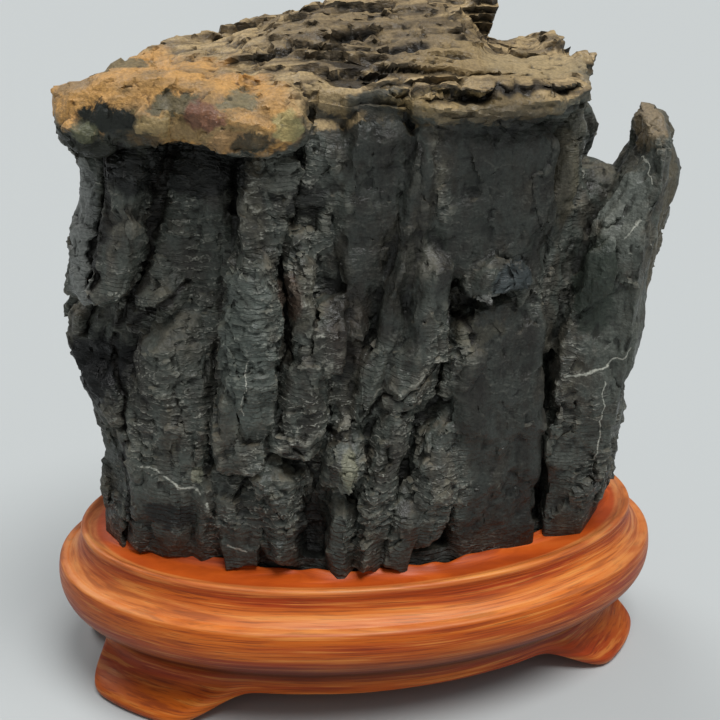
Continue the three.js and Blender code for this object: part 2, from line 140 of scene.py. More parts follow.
# Clefts that run across the front, each as x, z points, width and depth.
CLEFTS = [
    ([(-75, 180), (-79, 164), (-82, 149), (-84, 137), (-86, 118)], 1.3, 3.4),
    ([(-77, 120), (-78, 100), (-78, 81), (-78, 66), (-78, 50)], 1.0, 2.6),
    ([(-62, 178), (-65, 162), (-67, 150), (-72, 136), (-76, 124)], 2.6, 2.2),
    ([(-72, 124), (-66, 131), (-60, 136)], 2.2, 2.4),
    ([(6, 194), (21, 194.5), (26, 195.6), (41, 195.2), (50, 195)], 1.3, 3.4),
    ([(-47, 74), (-39, 83.5), (-32, 89.5), (-25, 93), (-14, 96), (-7, 103), (-3, 108), (3, 109), (13, 115)], 0.7, 1.4),
    ([(18, 140), (19, 130), (22, 124)], 2.0, 2.6),
]
# Slots between the beds of the top, which the finish paints dark as shade, as centre and radii.
TOP_SLOTS = [
    ((-31, -14, 204), (10, 3, 3)),
    ((-16, -12, 206), (5, 2.6, 3)),
    ((-9, -30, 201), (13, 4, 4)),
    ((-8, -22, 203), (13, 4, 4)),
    ((-4, -7, 207), (7, 3, 3)),
    ((8, -15, 205), (8, 3, 3)),
    ((17, -22, 202), (7, 1.8, 3)),
]
SLOT_DEPTH = 3.0

# The broken crest that climbs the front to the right above one of them, which the finish paints paler as a highlight,
# as x, z points, width and height.
CREST = ([(-47, 77), (-39, 86.5), (-32, 92), (-25, 96), (-14, 99), (-7, 106), (-3, 111), (3, 112), (13, 118)], 1.1, 1.3)

# Wrinkles and small overhanging lips across the slate's columns, used by its shape and by its finish.
WRINKLE_LENGTH = 9.0
WRINKLE_SPACING = 2.6
LIP_SPACING = 3.4

# Faces of the slate that split cleanly, as x from, x to, z from, z to, seen from the front.
CALM_PANELS = [
    (12, 50, 140, 190),
    (22, 50, 50, 130),
    (-17, 8, 126, 190),
    (60, 90, 100, 182),
]

# The ochre cap ends at the back along a slanting line, x * CAP_SLANT + y = CAP_LINE.
CAP_SLANT = 1.43
CAP_LINE = -76.5

# The stand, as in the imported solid: the rim's ellipse, the feet and the section from the underside to the shelf.
RIM_HALF_LENGTH = 91.5
RIM_HALF_DEPTH = 54
STAND_STEPS = 128
FOOT_ANGLES = [26, 150, 212, 336]
FOOT_HALF_ANGLE = 11
FOOT_RAMP_ANGLE = 18
APRON_HEIGHT = 8
SHELF_HEIGHT = 48
SEAT_HEIGHT = 42
ROOT_GAP = 0.6
# Each point is the reach out from the rim's crest and the height, between the feet and then on a foot.
STAND_SECTION = [
    ((-24, APRON_HEIGHT), (-24, APRON_HEIGHT)),
    ((-11, APRON_HEIGHT), (-12, 7.8)),
    ((-9, APRON_HEIGHT), (-10, 0)),
    ((-6.6, 8.1), (4.4, 0)),
    ((-6.1, 8.6), (5.8, 0.5)),
    ((-5.7, 9.8), (6.4, 1.8)),
    ((-5.4, 11), (6.2, 3.2)),
    ((-5.1, 12.2), (4.4, 4.6)),
    ((-4.8, 13.6), (0.8, 6)),
    ((-4.4, 15), (-3, 8.6)),
    ((-3.4, 16.8), (-5, 12.4)),
    ((-1.4, 18.8), (-3.6, 17)),
    ((1.6, 21.2), (1.2, 21)),
    ((5, 23.8), (5, 23.8)),
    ((7.6, 27), (7.6, 27)),
    ((8.9, 30.4), (8.9, 30.4)),
    ((9.3, 33.4), (9.3, 33.4)),
    ((9.25, 36), (9.25, 36)),
    ((8.95, 38.1), (8.95, 38.1)),
    ((8.7, 39.3), (8.7, 39.3)),
    ((8.2, 39.9), (8.2, 39.9)),
    ((7.2, 40.2), (7.2, 40.2)),
    ((6.2, 40.4), (6.2, 40.4)),
    ((5.8, 40.1), (5.8, 40.1)),
    ((5.4, 40.5), (5.4, 40.5)),
    ((4.2, 41.3), (4.2, 41.3)),
    ((2.8, 42.7), (2.8, 42.7)),
    ((1.7, 44.8), (1.7, 44.8)),
    ((1.2, 47.2), (1.2, 47.2)),
    ((1.6, 48.9), (1.6, 48.9)),
    ((1.4, 50), (1.4, 50)),
    ((0.6, 50.6), (0.6, 50.6)),
    ((-0.4, 50.4), (-0.4, 50.4)),
    ((-1.3, 49.7), (-1.3, 49.7)),
    ((-2.6, 49.1), (-2.6, 49.1)),
    ((-4.6, 48.9), (-4.6, 48.9)),
]
# The collar cut to the stone, as distance outside the root, height and how ragged the knife left it.
COLLAR = [
    (5, SHELF_HEIGHT + 1.1, 0.8),
    (2.6, SHELF_HEIGHT + 2.2, 3),
    (ROOT_GAP + 0.8, SHELF_HEIGHT + 2.6, 3.6),
    (ROOT_GAP, SHELF_HEIGHT + 0.6, 2),
    (ROOT_GAP, SEAT_HEIGHT, 0),
]
# The outline of the stone's root in the seat, seen from above.
ROOT_PLAN = [
    (-80, 2), (-77, -12), (-66, -20), (-52, -28), (-38, -34), (-16, -42),
    (12, -42), (36, -35), (55, -28), (70, -20), (80, -8), (80, 8),
    (66, 24), (38, 36), (4, 42), (-30, 39), (-56, 30), (-74, 16),
]


def add(tree, kind, inputs=(), **settings):
    """Adds one node with its settings. An input is a value, a socket, or a node whose first live output is linked."""
    node = tree.nodes.new(kind)
    for name, value in settings.items():
        setattr(node, name, value)
    for name, value in dict(inputs).items():
        if isinstance(name, int):
            socket = node.inputs[name]
        else:
            socket = next(s for s in node.inputs if s.name == name and s.enabled)
        if isinstance(value, bpy.types.Node):
            value = next(s for s in value.outputs if s.enabled)
        if isinstance(value, bpy.types.NodeSocket):
            tree.links.new(value, socket)
        else:
            socket.default_value = value
    return node


def colour(text):
    """An sRGB hex value as linear RGBA."""
    parts = [int(text[k:k + 2], 16) / 255 for k in (1, 3, 5)]
    return [p / 12.92 if p <= 0.04045 else ((p + 0.055) / 1.055) ** 2.4 for p in parts] + [1.0]


def ease(value, low, high):
    """0 below low and 1 above high, with a smooth step between."""
    share = np.clip((value - low) / (high - low), 0, 1)
    return share * share * (3 - 2 * share)


def settled(piece):
    """The piece with its modifiers made part of a plain mesh."""
    graph = bpy.context.evaluated_depsgraph_get()
    mesh = bpy.data.meshes.new_from_object(piece.evaluated_get(graph))
    piece.modifiers.clear()
    old = piece.data
    piece.data = mesh
    bpy.data.meshes.remove(old)
    return piece


def piece_from(name, mesh):
    piece = bpy.data.objects.new(name, mesh)
    bpy.context.scene.collection.objects.link(piece)
    return piece


def set_inputs(modifier, values):
    """Sets the named inputs of a Geometry Nodes modifier by their sockets' identifiers."""
    for item in modifier.node_group.interface.items_tree:
        if item.in_out == "INPUT" and item.name in values:
            modifier[item.identifier] = values[item.name]


def new_tree(name, sizes):
    """A Geometry Nodes tree with one named input for each size, a seed and a material."""
    tree = bpy.data.node_groups.new(name, "GeometryNodeTree")
    tree.interface.new_socket("Geometry", in_out="INPUT", socket_type="NodeSocketGeometry")
    for size in sizes:
        tree.interface.new_socket(size, in_out="INPUT", socket_type="NodeSocketFloat")
    tree.interface.new_socket("Seed", in_out="INPUT", socket_type="NodeSocketFloat")
    tree.interface.new_socket("Finish", in_out="INPUT", socket_type="NodeSocketMaterial")
    tree.interface.new_socket("Geometry", in_out="OUTPUT", socket_type="NodeSocketGeometry")
    return tree, add(tree, "NodeGroupInput")


def pushed(tree, shape, height):
    """The shape with each point moved along its normal by a height in millimetres."""
    metres = add(tree, "ShaderNodeMath", {0: height, 1: MM}, operation="MULTIPLY")
    normal = add(tree, "GeometryNodeInputNormal")
    offset = add(tree, "ShaderNodeVectorMath", {0: normal, "Scale": metres}, operation="SCALE")
    return add(tree, "GeometryNodeSetPosition", {"Geometry": shape, "Offset": offset})


def noise(tree, place, size, seed, detail=2.0):
    """A noise of 0 to 1 whose grains have the given size in millimetres along x, y and z."""
    scaled = add(tree, "ShaderNodeVectorMath", {0: place, 1: [1 / s for s in size]}, operation="MULTIPLY")
    return add(
        tree,
        "ShaderNodeTexNoise",
        {"Vector": scaled, "W": seed, "Scale": 1.0, "Detail": detail, "Roughness": 0.55},
        noise_dimensions="4D",
    )


def between(tree, value, low, high, bottom=0.0, top=1.0):
    """A smooth step from bottom to top as value goes from low to high."""
    return add(
        tree,
        "ShaderNodeMapRange",
        {"Value": value, "From Min": low, "From Max": high, "To Min": bottom, "To Max": top},
        interpolation_type="SMOOTHSTEP",
    )


def times(tree, *factors):
    """The product of several values."""
    product = factors[0]
    for factor in factors[1:]:
        product = add(tree, "ShaderNodeMath", {0: product, 1: factor}, operation="MULTIPLY")
    return product


def wrinkle_gap(tree, place, length, spacing):
    """How far a point is from a wrinkle's crest, from 0 on the crest. Geometry and finish share the pattern."""
    size = add(tree, "ShaderNodeCombineXYZ", {"X": length, "Y": length, "Z": spacing})
    scaled = add(tree, "ShaderNodeVectorMath", {0: place, 1: size}, operation="DIVIDE")
    waves = add(
        tree,
        "ShaderNodeTexNoise",
        {"Vector": scaled, "W": 4.0, "Scale": 1.0, "Detail": 2.0, "Roughness": 0.5, "Distortion": 0.4},
        noise_dimensions="4D",
    )
    away = add(tree, "ShaderNodeMath", {0: waves, 1: 0.5}, operation="SUBTRACT")
    return add(tree, "ShaderNodeMath", {0: away}, operation="ABSOLUTE")


def lip_part(tree, place, spacing, seed):
    """From 0 just above a lip's edge to 1 below the next. The lips lie across the columns and waver."""
    axes = add(tree, "ShaderNodeSeparateXYZ", {0: place})
    waver = add(tree, "ShaderNodeMath", {0: noise(tree, place, (11, 11, 9), seed, 3.0), 1: 0.5}, operation="SUBTRACT")
    swing = times(tree, waver, spacing * 5.0)
    level = add(tree, "ShaderNodeMath", {0: axes.outputs["Z"], 1: swing}, operation="ADD")
    tipped = add(tree, "ShaderNodeMath", {0: level, 1: times(tree, axes.outputs["X"], 0.1)}, operation="ADD")
    steps = add(tree, "ShaderNodeMath", {0: tipped, 1: spacing}, operation="DIVIDE")
    return add(tree, "ShaderNodeMath", {0: steps}, operation="FRACT")


def lip_cluster(tree, place):
    """Where the lips show: they come in clusters, with smoother slate between."""
    return times(
        tree,
        between(tree, noise(tree, place, (15, 15, 20), 3.0), 0.43, 0.57),
        between(tree, noise(tree, place, (8, 8, 3.6), 9.0), 0.4, 0.56),
    )


def cap_side(tree, axes):
    """Positive behind and to the right of the ochre cap, in millimetres."""
    slanted = times(tree, axes.outputs["X"], CAP_SLANT)
    across = add(tree, "ShaderNodeMath", {0: slanted, 1: axes.outputs["Y"]}, operation="ADD")
    return add(tree, "ShaderNodeMath", {0: across, 1: CAP_LINE}, operation="SUBTRACT")


def slate_weathering():
    """Broken blocks, folds, scallops, chips, wrinkles, streaks and stepped beds, each sized by a named input."""
    sizes = [
        "Block Size", "Block Shift", "Fold Size", "Fold Depth", "Scallop Size", "Scallop Depth", "Chip Size",
        "Chip Depth", "Wrinkle Length", "Wrinkle Spacing", "Wrinkle Depth", "Lip Depth", "Streak Width",
        "Streak Depth", "Bed Height", "Bed Strength", "Undercut", "Highest",
    ]
    tree, given = new_tree("slate weathering", sizes)
    size = {name: given.outputs[name] for name in sizes + ["Seed"]}
    position = add(tree, "GeometryNodeInputPosition")
    place = add(tree, "ShaderNodeVectorMath", {0: position, "Scale": 1 / MM}, operation="SCALE")
    axes = add(tree, "ShaderNodeSeparateXYZ", {0: place})
    normal = add(tree, "GeometryNodeInputNormal")
    facing = add(tree, "ShaderNodeSeparateXYZ", {0: normal})
    calm = add(tree, "GeometryNodeInputNamedAttribute", {"Name": "calm"}, data_type="FLOAT")
    free = between(tree, axes.outputs["Z"], 50.0, 64.0)
    below = between(tree, axes.outputs["Z"], 176.0, 186.0, 1.0, 0.15)
    steep = between(tree, facing.outputs["Z"], 0.35, 0.7, 1.0, 0.25)
    shape = given.outputs["Geometry"]

    # Blocks: each part of a column has slipped a little its own way, so its edges break and step.
    cell = add(tree, "ShaderNodeMath", {0: 1.0, 1: size["Block Size"]}, operation="DIVIDE")
    stretched = add(tree, "ShaderNodeVectorMath", {0: place, 1: [1.0, 1.0, 0.62]}, operation="MULTIPLY")
    cells = add(tree, "ShaderNodeVectorMath", {0: stretched, "Scale": cell}, operation="SCALE")
    ripple = add(tree, "ShaderNodeTexNoise", {"Vector": cells, "Scale": 2.6, "Detail": 2.0})
    rippled = add(
        tree, "ShaderNodeVectorMath", {0: ripple.outputs["Color"], "Scale": 0.5}, operation="SCALE"
    )
    ragged = add(tree, "ShaderNodeVectorMath", {0: cells, 1: rippled}, operation="ADD")
    blocks = add(tree, "ShaderNodeTexVoronoi", {"Vector": ragged, "Scale": 1.0})
    slip = add(tree, "ShaderNodeVectorMath", {0: blocks.outputs["Color"], 1: [0.5] * 3}, operation="SUBTRACT")
    quiet = add(tree, "ShaderNodeMath", {0: 1.0, 1: times(tree, calm, 0.45)}, operation="SUBTRACT")
    reach = times(tree, size["Block Shift"], 2 * MM, free, below, quiet)
    offset = add(tree, "ShaderNodeVectorMath", {0: slip, "Scale": reach}, operation="SCALE")
    shape = add(tree, "GeometryNodeSetPosition", {"Geometry": shape, "Offset": offset})

    # Folds move the surface bodily, so that no edge of a slab stays straight. They leave the root alone.
    for share, seed in ((1.0, 0.0), (0.36, 7.0)):
        grain = add(tree, "ShaderNodeMath", {0: size["Fold Size"], 1: share}, operation="MULTIPLY")
        inverse = add(tree, "ShaderNodeMath", {0: 1.0, 1: grain}, operation="DIVIDE")
        scaled = add(tree, "ShaderNodeVectorMath", {0: place, "Scale": inverse}, operation="SCALE")
        moving = add(
            tree,
            "ShaderNodeTexNoise",
            {"Vector": scaled, "W": seed, "Scale": 1.0, "Detail": 2.0},
            noise_dimensions="4D",
        )
        centred = add(
            tree, "ShaderNodeVectorMath", {0: moving.outputs["Color"], 1: [0.5] * 3}, operation="SUBTRACT"
        )
        reach = times(tree, size["Fold Depth"], share * 4 * MM, free)
        offset = add(tree, "ShaderNodeVectorMath", {0: centred, "Scale": reach}, operation="SCALE")
        shape = add(tree, "GeometryNodeSetPosition", {"Geometry": shape, "Offset": offset})

    # Scallops are shallow scoops with sharp brows, as slate breaks across its grain.
    scoop = add(tree, "ShaderNodeMath", {0: 1.0, 1: size["Scallop Size"]}, operation="DIVIDE")
    scoops = add(tree, "ShaderNodeVectorMath", {0: place, "Scale": scoop}, operation="SCALE")
    wobble = add(tree, "ShaderNodeTexNoise", {"Vector": scoops, "Scale": 1.6, "Detail": 2.0})
    wobbled = add(tree, "ShaderNodeVectorMath", {0: wobble.outputs["Color"], "Scale": 0.7}, operation="SCALE")
    bent_scoops = add(tree, "ShaderNodeVectorMath", {0: scoops, 1: wobbled}, operation="ADD")
    shells = add(tree, "ShaderNodeTexVoronoi", {"Vector": bent_scoops, "Scale": 1.0})
    shell = add(tree, "ShaderNodeMath", {0: shells.outputs["Distance"], 1: 0.45}, operation="SUBTRACT")
    broad = add(tree, "ShaderNodeMath", {0: 1.0, 1: times(tree, calm, 0.6)}, operation="ADD")
    shape = pushed(tree, shape, times(tree, shell, size["Scallop Depth"], 2.0, broad, below, free))

    # Chips are flat facets: each cell tilts its own way and meets its neighbours at a sharp step.
    cell = add(tree, "ShaderNodeMath", {0: 1.0, 1: size["Chip Size"]}, operation="DIVIDE")
    stretched = add(tree, "ShaderNodeVectorMath", {0: place, 1: [1.0, 1.0, 0.7]}, operation="MULTIPLY")
    cells = add(tree, "ShaderNodeVectorMath", {0: stretched, "Scale": cell}, operation="SCALE")
    chips = add(tree, "ShaderNodeTexVoronoi", {"Vector": cells, "Scale": 1.0})
    tilt = add(tree, "ShaderNodeVectorMath", {0: chips.outputs["Color"], 1: [0.5] * 3}, operation="SUBTRACT")
    within = add(tree, "ShaderNodeVectorMath", {0: cells, 1: chips.outputs["Position"]}, operation="SUBTRACT")
    facet = add(tree, "ShaderNodeVectorMath", {0: tilt, 1: within}, operation="DOT_PRODUCT")
    shape = pushed(tree, shape, times(tree, facet.outputs["Value"], size["Chip Depth"], 2.4, quiet, free))

    # Wrinkles cross the columns: thin crests a few millimetres apart that wander, fork and fade.
    apart = wrinkle_gap(tree, place, size["Wrinkle Length"], size["Wrinkle Spacing"])
    crest = between(tree, apart, 0.0, 0.12, 1.0, 0.0)
    patchy = between(tree, noise(tree, place, (15, 15, 22), 3.0), 0.42, 0.6, 0.12, 1.0)
    lively = add(tree, "ShaderNodeMath", {0: 1.0, 1: times(tree, calm, 0.85)}, operation="SUBTRACT")
    shape = pushed(tree, shape, times(tree, crest, size["Wrinkle Depth"], patchy, lively, steep, free))

    # Lips are small overhangs: the slate swells downwards and then steps back under each edge.
    part = lip_part(tree, place, LIP_SPACING, 12.0)
    swell = add(tree, "ShaderNodeMath", {0: 1.0, 1: part}, operation="SUBTRACT")
    lip = times(tree, swell, between(tree, part, 0.0, 0.2), lip_cluster(tree, place))
    shape = pushed(tree, shape, times(tree, lip, size["Lip Depth"], lively, steep, free, below))

    # Streaks run up the calm faces, as slate tears along its upright grain.
    streak_size = add(
        tree, "ShaderNodeCombineXYZ", {"X": size["Streak Width"], "Y": size["Streak Width"], "Z": 24.0}
    )
    streak_place = add(tree, "ShaderNodeVectorMath", {0: place, 1: streak_size}, operation="DIVIDE")
    streaks = add(tree, "ShaderNodeTexNoise", {"Vector": streak_place, "Scale": 1.0, "Detail": 2.0})
    torn = add(tree, "ShaderNodeMath", {0: streaks, 1: 0.5}, operation="SUBTRACT")
    grained = add(tree, "ShaderNodeMath", {0: calm, 1: 0.35}, operation="ADD")
    shape = pushed(tree, shape, times(tree, torn, 2.0, size["Streak Depth"], grained, steep, free))

    # Beds step up the top: flat treads, steep ragged risers towards the front, and dark slots under the risers.
    crown = between(tree, axes.outputs["Z"], 183.0, 193.0)
    behind = between(tree, cap_side(tree, axes), -12.0, 6.0, 0.12, 1.0)
    worn_flat = times(
        tree,
        between(tree, axes.outputs["X"], 22.0, 32.0),
        between(tree, axes.outputs["Y"], -8.0, 4.0, 1.0, 0.0),
        0.92,
    )
    uneven = between(tree, noise(tree, place, (28, 18, 14), 15.0), 0.4, 0.58, 0.35, 1.0)
    behind = times(tree, behind, uneven, add(tree, "ShaderNodeMath", {0: 1.0, 1: worn_flat}, operation="SUBTRACT"))
    waving = add(
        tree, "ShaderNodeMath", {0: noise(tree, place, (58, 22, 18), 5.0, 2.0), 1: 0.5}, operation="SUBTRACT"
    )
    jagged = add(
        tree, "ShaderNodeMath", {0: noise(tree, place, (15, 7, 6), 16.0, 4.0), 1: 0.5}, operation="SUBTRACT"
    )
    level = add(tree, "ShaderNodeMath", {0: axes.outputs["Z"], 1: times(tree, waving, 19.0)}, operation="ADD")
    level = add(tree, "ShaderNodeMath", {0: level, 1: times(tree, jagged, 6.5)}, operation="ADD")
    tipped = add(
        tree, "ShaderNodeMath", {0: level, 1: times(tree, axes.outputs["X"], 0.05)}, operation="ADD"
    )
    steps = add(tree, "ShaderNodeMath", {0: tipped, 1: size["Bed Height"]}, operation="DIVIDE")
    part = add(tree, "ShaderNodeMath", {0: steps}, operation="FRACT")
    riser = between(tree, part, 0.5, 0.95)
    rise = add(tree, "ShaderNodeMath", {0: riser, 1: part}, operation="SUBTRACT")
    lift = times(tree, rise, size["Bed Height"], size["Bed Strength"], crown, behind, MM)
    slot = times(
        tree,
        between(tree, part, 0.3, 0.55),
        between(tree, part, 0.6, 0.85, 1.0, 0.0),
        between(tree, noise(tree, place, (26, 12, 9), 11.0), 0.42, 0.55, 0.1, 1.0),
    )
    back = times(tree, slot, size["Undercut"], crown, behind, MM)
    offset = add(tree, "ShaderNodeCombineXYZ", {"Y": back, "Z": lift})
    shape = add(tree, "GeometryNodeSetPosition", {"Geometry": shape, "Offset": offset})
    beds = add(
        tree, "ShaderNodeMath", {0: noise(tree, place, (30, 3.6, 2.6), 6.0, 3.0), 1: 0.5}, operation="SUBTRACT"
    )
    bedded = times(
        tree,
        between(tree, cap_side(tree, axes), -12.0, 6.0, 0.12, 1.0),
        uneven,
        add(tree, "ShaderNodeMath", {0: 1.0, 1: worn_flat}, operation="SUBTRACT"),
    )
    shape = pushed(tree, shape, times(tree, beds, 3.0, crown, bedded))
    ledges = add(
        tree, "ShaderNodeMath", {0: noise(tree, place, (13, 13, 2.4), 18.0, 4.0), 1: 0.5}, operation="SUBTRACT"
    )
    jutting = times(
        tree,
        between(tree, axes.outputs["X"], 4.0, 14.0),
        between(tree, axes.outputs["Z"], 182.0, 186.0),
        between(tree, axes.outputs["Z"], 196.0, 202.0, 1.0, 0.0),
        between(tree, facing.outputs["Z"], 0.3, 0.7, 1.0, 0.1),
    )
    shape = pushed(tree, shape, times(tree, ledges, 7.0, jutting))

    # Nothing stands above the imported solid.
    low = add(
        tree, "ShaderNodeMath", {0: times(tree, axes.outputs["Z"], MM), 1: size["Highest"]}, operation="MINIMUM"
    )
    moved = add(tree, "ShaderNodeSeparateXYZ", {0: position})
    kept = add(tree, "ShaderNodeCombineXYZ", {"X": moved.outputs["X"], "Y": moved.outputs["Y"], "Z": low})
    shape = add(tree, "GeometryNodeSetPosition", {"Geometry": shape, "Position": kept})

    # How far each point stands out from, or lies in from, the surface around it, in millimetres.
    for name, rounds in (("ridge", 6), ("hollow", 60)):
        around = add(
            tree,
            "GeometryNodeBlurAttribute",
            {"Value": place, "Iterations": rounds},
            data_type="FLOAT_VECTOR",
        )
        out = add(tree, "ShaderNodeVectorMath", {0: place, 1: around}, operation="SUBTRACT")
        stands = add(tree, "ShaderNodeVectorMath", {0: out, 1: normal}, operation="DOT_PRODUCT")
        shape = add(
            tree,
            "GeometryNodeStoreNamedAttribute",
            {"Geometry": shape, "Name": name, "Value": stands.outputs["Value"]},
            data_type="FLOAT",
            domain="POINT",
        )

    real = add(tree, "GeometryNodeRealizeInstances", {"Geometry": shape})
    finished = add(
        tree, "GeometryNodeSetMaterial", {"Geometry": real, "Material": given.outputs["Finish"]}
    )
    add(tree, "NodeGroupOutput", {"Geometry": finished})
    return tree


def blank_material(name):
    material = bpy.data.materials.new(name)
    material.use_nodes = True
    tree = material.node_tree
    tree.nodes.clear()
    return material, tree


def weathered_slate():
    """Charcoal slate, split along upright beds: dull, finely grained, paler at its edges from wear.

    Clay minerals in slate scatter light evenly, so it is rough and nearly without gloss. Iron in the top
    beds has rusted to ochre, and thin calcite veins show white.
    """
    material, tree = blank_material("weathered slate")
    where = add(tree, "ShaderNodeTexCoord")
    place = add(tree, "ShaderNodeVectorMath", {0: where.outputs["Object"], "Scale": 1 / MM}, operation="SCALE")
    axes = add(tree, "ShaderNodeSeparateXYZ", {0: place})
    ridge = add(tree, "ShaderNodeAttribute", attribute_name="ridge").outputs["Fac"]
    hollow = add(tree, "ShaderNodeAttribute", attribute_name="hollow").outputs["Fac"]
    calm = add(tree, "ShaderNodeAttribute", attribute_name="calm").outputs["Fac"]
    cleft = add(tree, "ShaderNodeAttribute", attribute_name="cleft").outputs["Fac"]
    crest = add(tree, "ShaderNodeAttribute", attribute_name="crest").outputs["Fac"]
    surface = add(tree, "ShaderNodeNewGeometry")
    facing = add(tree, "ShaderNodeSeparateXYZ", {0: surface.outputs["Normal"]})

    cloudy = noise(tree, place, (15, 15, 34), 1.0, 4.0)
    mottled = noise(tree, place, (5, 5, 7), 2.0, 4.0)
    grainy = noise(tree, place, (0.9, 0.9, 0.9), 3.0, 3.0)
    tone = add(
        tree,
        "ShaderNodeMath",
        {0: times(tree, cloudy, 0.7), 1: times(tree, mottled, 0.3)},
        operation="ADD",
    )
    body = add(tree, "ShaderNodeValToRGB", {"Fac": tone})
    ramp = body.color_ramp
    ramp.elements[0].position = 0.36
    ramp.elements[0].color = colour("#302d28")
    ramp.elements[-1].position = 0.64
    ramp.elements[-1].color = colour("#615e52")
    for spot, hex_value in ((0.44, "#40403a"), (0.5, "#4c504a"), (0.57, "#45433c")):
        ramp.elements.new(spot).color = colour(hex_value)

    def over(under, cover, share):
        return add(
            tree, "ShaderNodeMix", {0: share, 6: under, 7: cover}, data_type="RGBA", blend_type="MIX"
        ).outputs[2]

    # Worn edges are paler, and so is the dust that lies on every small ledge.
    lightened_share = times(tree, between(tree, ridge, 0.2, 0.5), between(tree, mottled, 0.4, 0.58), 0.4)
    skin = over(body.outputs["Color"], colour("#77766b"), lightened_share)
    dusty = times(tree, between(tree, facing.outputs["Z"], 0.35, 0.85), between(tree, mottled, 0.4, 0.6), 0.45)
    skin = over(skin, colour("#736a57"), dusty)
    apart = wrinkle_gap(tree, place, WRINKLE_LENGTH, WRINKLE_SPACING)
    patchy = between(tree, noise(tree, place, (15, 15, 22), 3.0), 0.42, 0.6, 0.12, 1.0)
    upright = times(
        tree,
        between(tree, facing.outputs["Z"], 0.35, 0.7, 1.0, 0.0),
        between(tree, axes.outputs["Z"], 176.0, 186.0, 1.0, 0.1),
    )
    # Painted highlight: the thin crests of the wrinkles are painted pale as glints.
    highlight_share = times(
        tree, between(tree, apart, 0.0, 0.03, 1.0, 0.0), patchy, between(tree, grainy, 0.42, 0.6), upright, 0.8,
        between(tree, calm, 0.0, 0.8, 1.0, 0.12),
    )
    skin = over(skin, colour("#a09f94"), highlight_share)
    # Each lip gets a pale painted highlight along its edge and a nearly black painted shadow under it.
    part = lip_part(tree, place, LIP_SPACING, 12.0)
    edge = times(tree, between(tree, part, 0.02, 0.1), between(tree, part, 0.12, 0.3, 1.0, 0.0))
    cluster = times(tree, lip_cluster(tree, place), upright, between(tree, calm, 0.0, 1.0, 1.0, 0.3))
    skin = over(skin, colour("#96958a"), times(tree, edge, cluster, between(tree, grainy, 0.35, 0.55), 0.65))
    under = times(tree, between(tree, part, 0.88, 1.0), cluster, 0.7)
    skin = over(skin, colour("#151411"), under)
    # Painted highlight: the crest that climbs the front is painted paler.
    broken = times(tree, between(tree, crest, 0.35, 0.8), between(tree, mottled, 0.4, 0.58), 0.65)
    skin = over(skin, colour("#8f8d82"), broken)

    # The weathered top: olive taupe beds above a line that climbs to the right.
    climb = times(tree, axes.outputs["X"], 0.075)
    ragged = times(tree, add(tree, "ShaderNodeMath", {0: mottled, 1: 0.5}, operation="SUBTRACT"), 24.0)
    level = add(tree, "ShaderNodeMath", {0: axes.outputs["Z"], 1: climb}, operation="SUBTRACT")
    height = add(tree, "ShaderNodeMath", {0: level, 1: ragged}, operation="ADD")
    upward = between(tree, facing.outputs["Z"], -0.1, 0.45, 0.2, 1.0)
    taupe = times(tree, between(tree, height, 187.0, 190.0), upward)
    bedded = noise(tree, place, (26, 3.4, 2.2), 4.0, 4.0)
    taupe_tone = over(colour("#68583f"), colour("#a68f68"), between(tree, bedded, 0.36, 0.6))
    skin = over(skin, taupe_tone, taupe)
    # Painted shade: the steep risers between the beds are darkened to brown, with some dirt as well.
    riser_shade = times(
        tree, between(tree, facing.outputs["Z"], 0.3, 0.78, 1.0, 0.0), between(tree, height, 190.0, 196.0), 0.6
    )
    skin = over(skin, colour("#3a2f22"), riser_shade)

    # The ochre cap at the left, whose lower edge breaks off in lumps.
    side = cap_side(tree, axes)
    swinging = times(tree, add(tree, "ShaderNodeMath", {0: cloudy, 1: 0.5}, operation="SUBTRACT"), 60.0)
    cap_reach = add(tree, "ShaderNodeMath", {0: side, 1: swinging}, operation="ADD")
    left_edge = between(tree, axes.outputs["X"], -78.0, -66.0, 5.0, 0.0)
    cap_height = add(tree, "ShaderNodeMath", {0: height, 1: left_edge}, operation="SUBTRACT")
    cap = times(
        tree,
        between(tree, cap_height, 183.0, 188.0),
        between(tree, cap_reach, -9.0, 7.0, 1.0, 0.0),
        between(tree, axes.outputs["X"], -33.0, -26.0, 1.0, 0.0),
    )
    rusty = noise(tree, place, (18, 12, 8), 6.0, 4.0)
    ochre = over(colour("#8a6f4a"), colour("#ba8d52"), between(tree, rusty, 0.36, 0.58))
    skin = over(skin, ochre, cap)
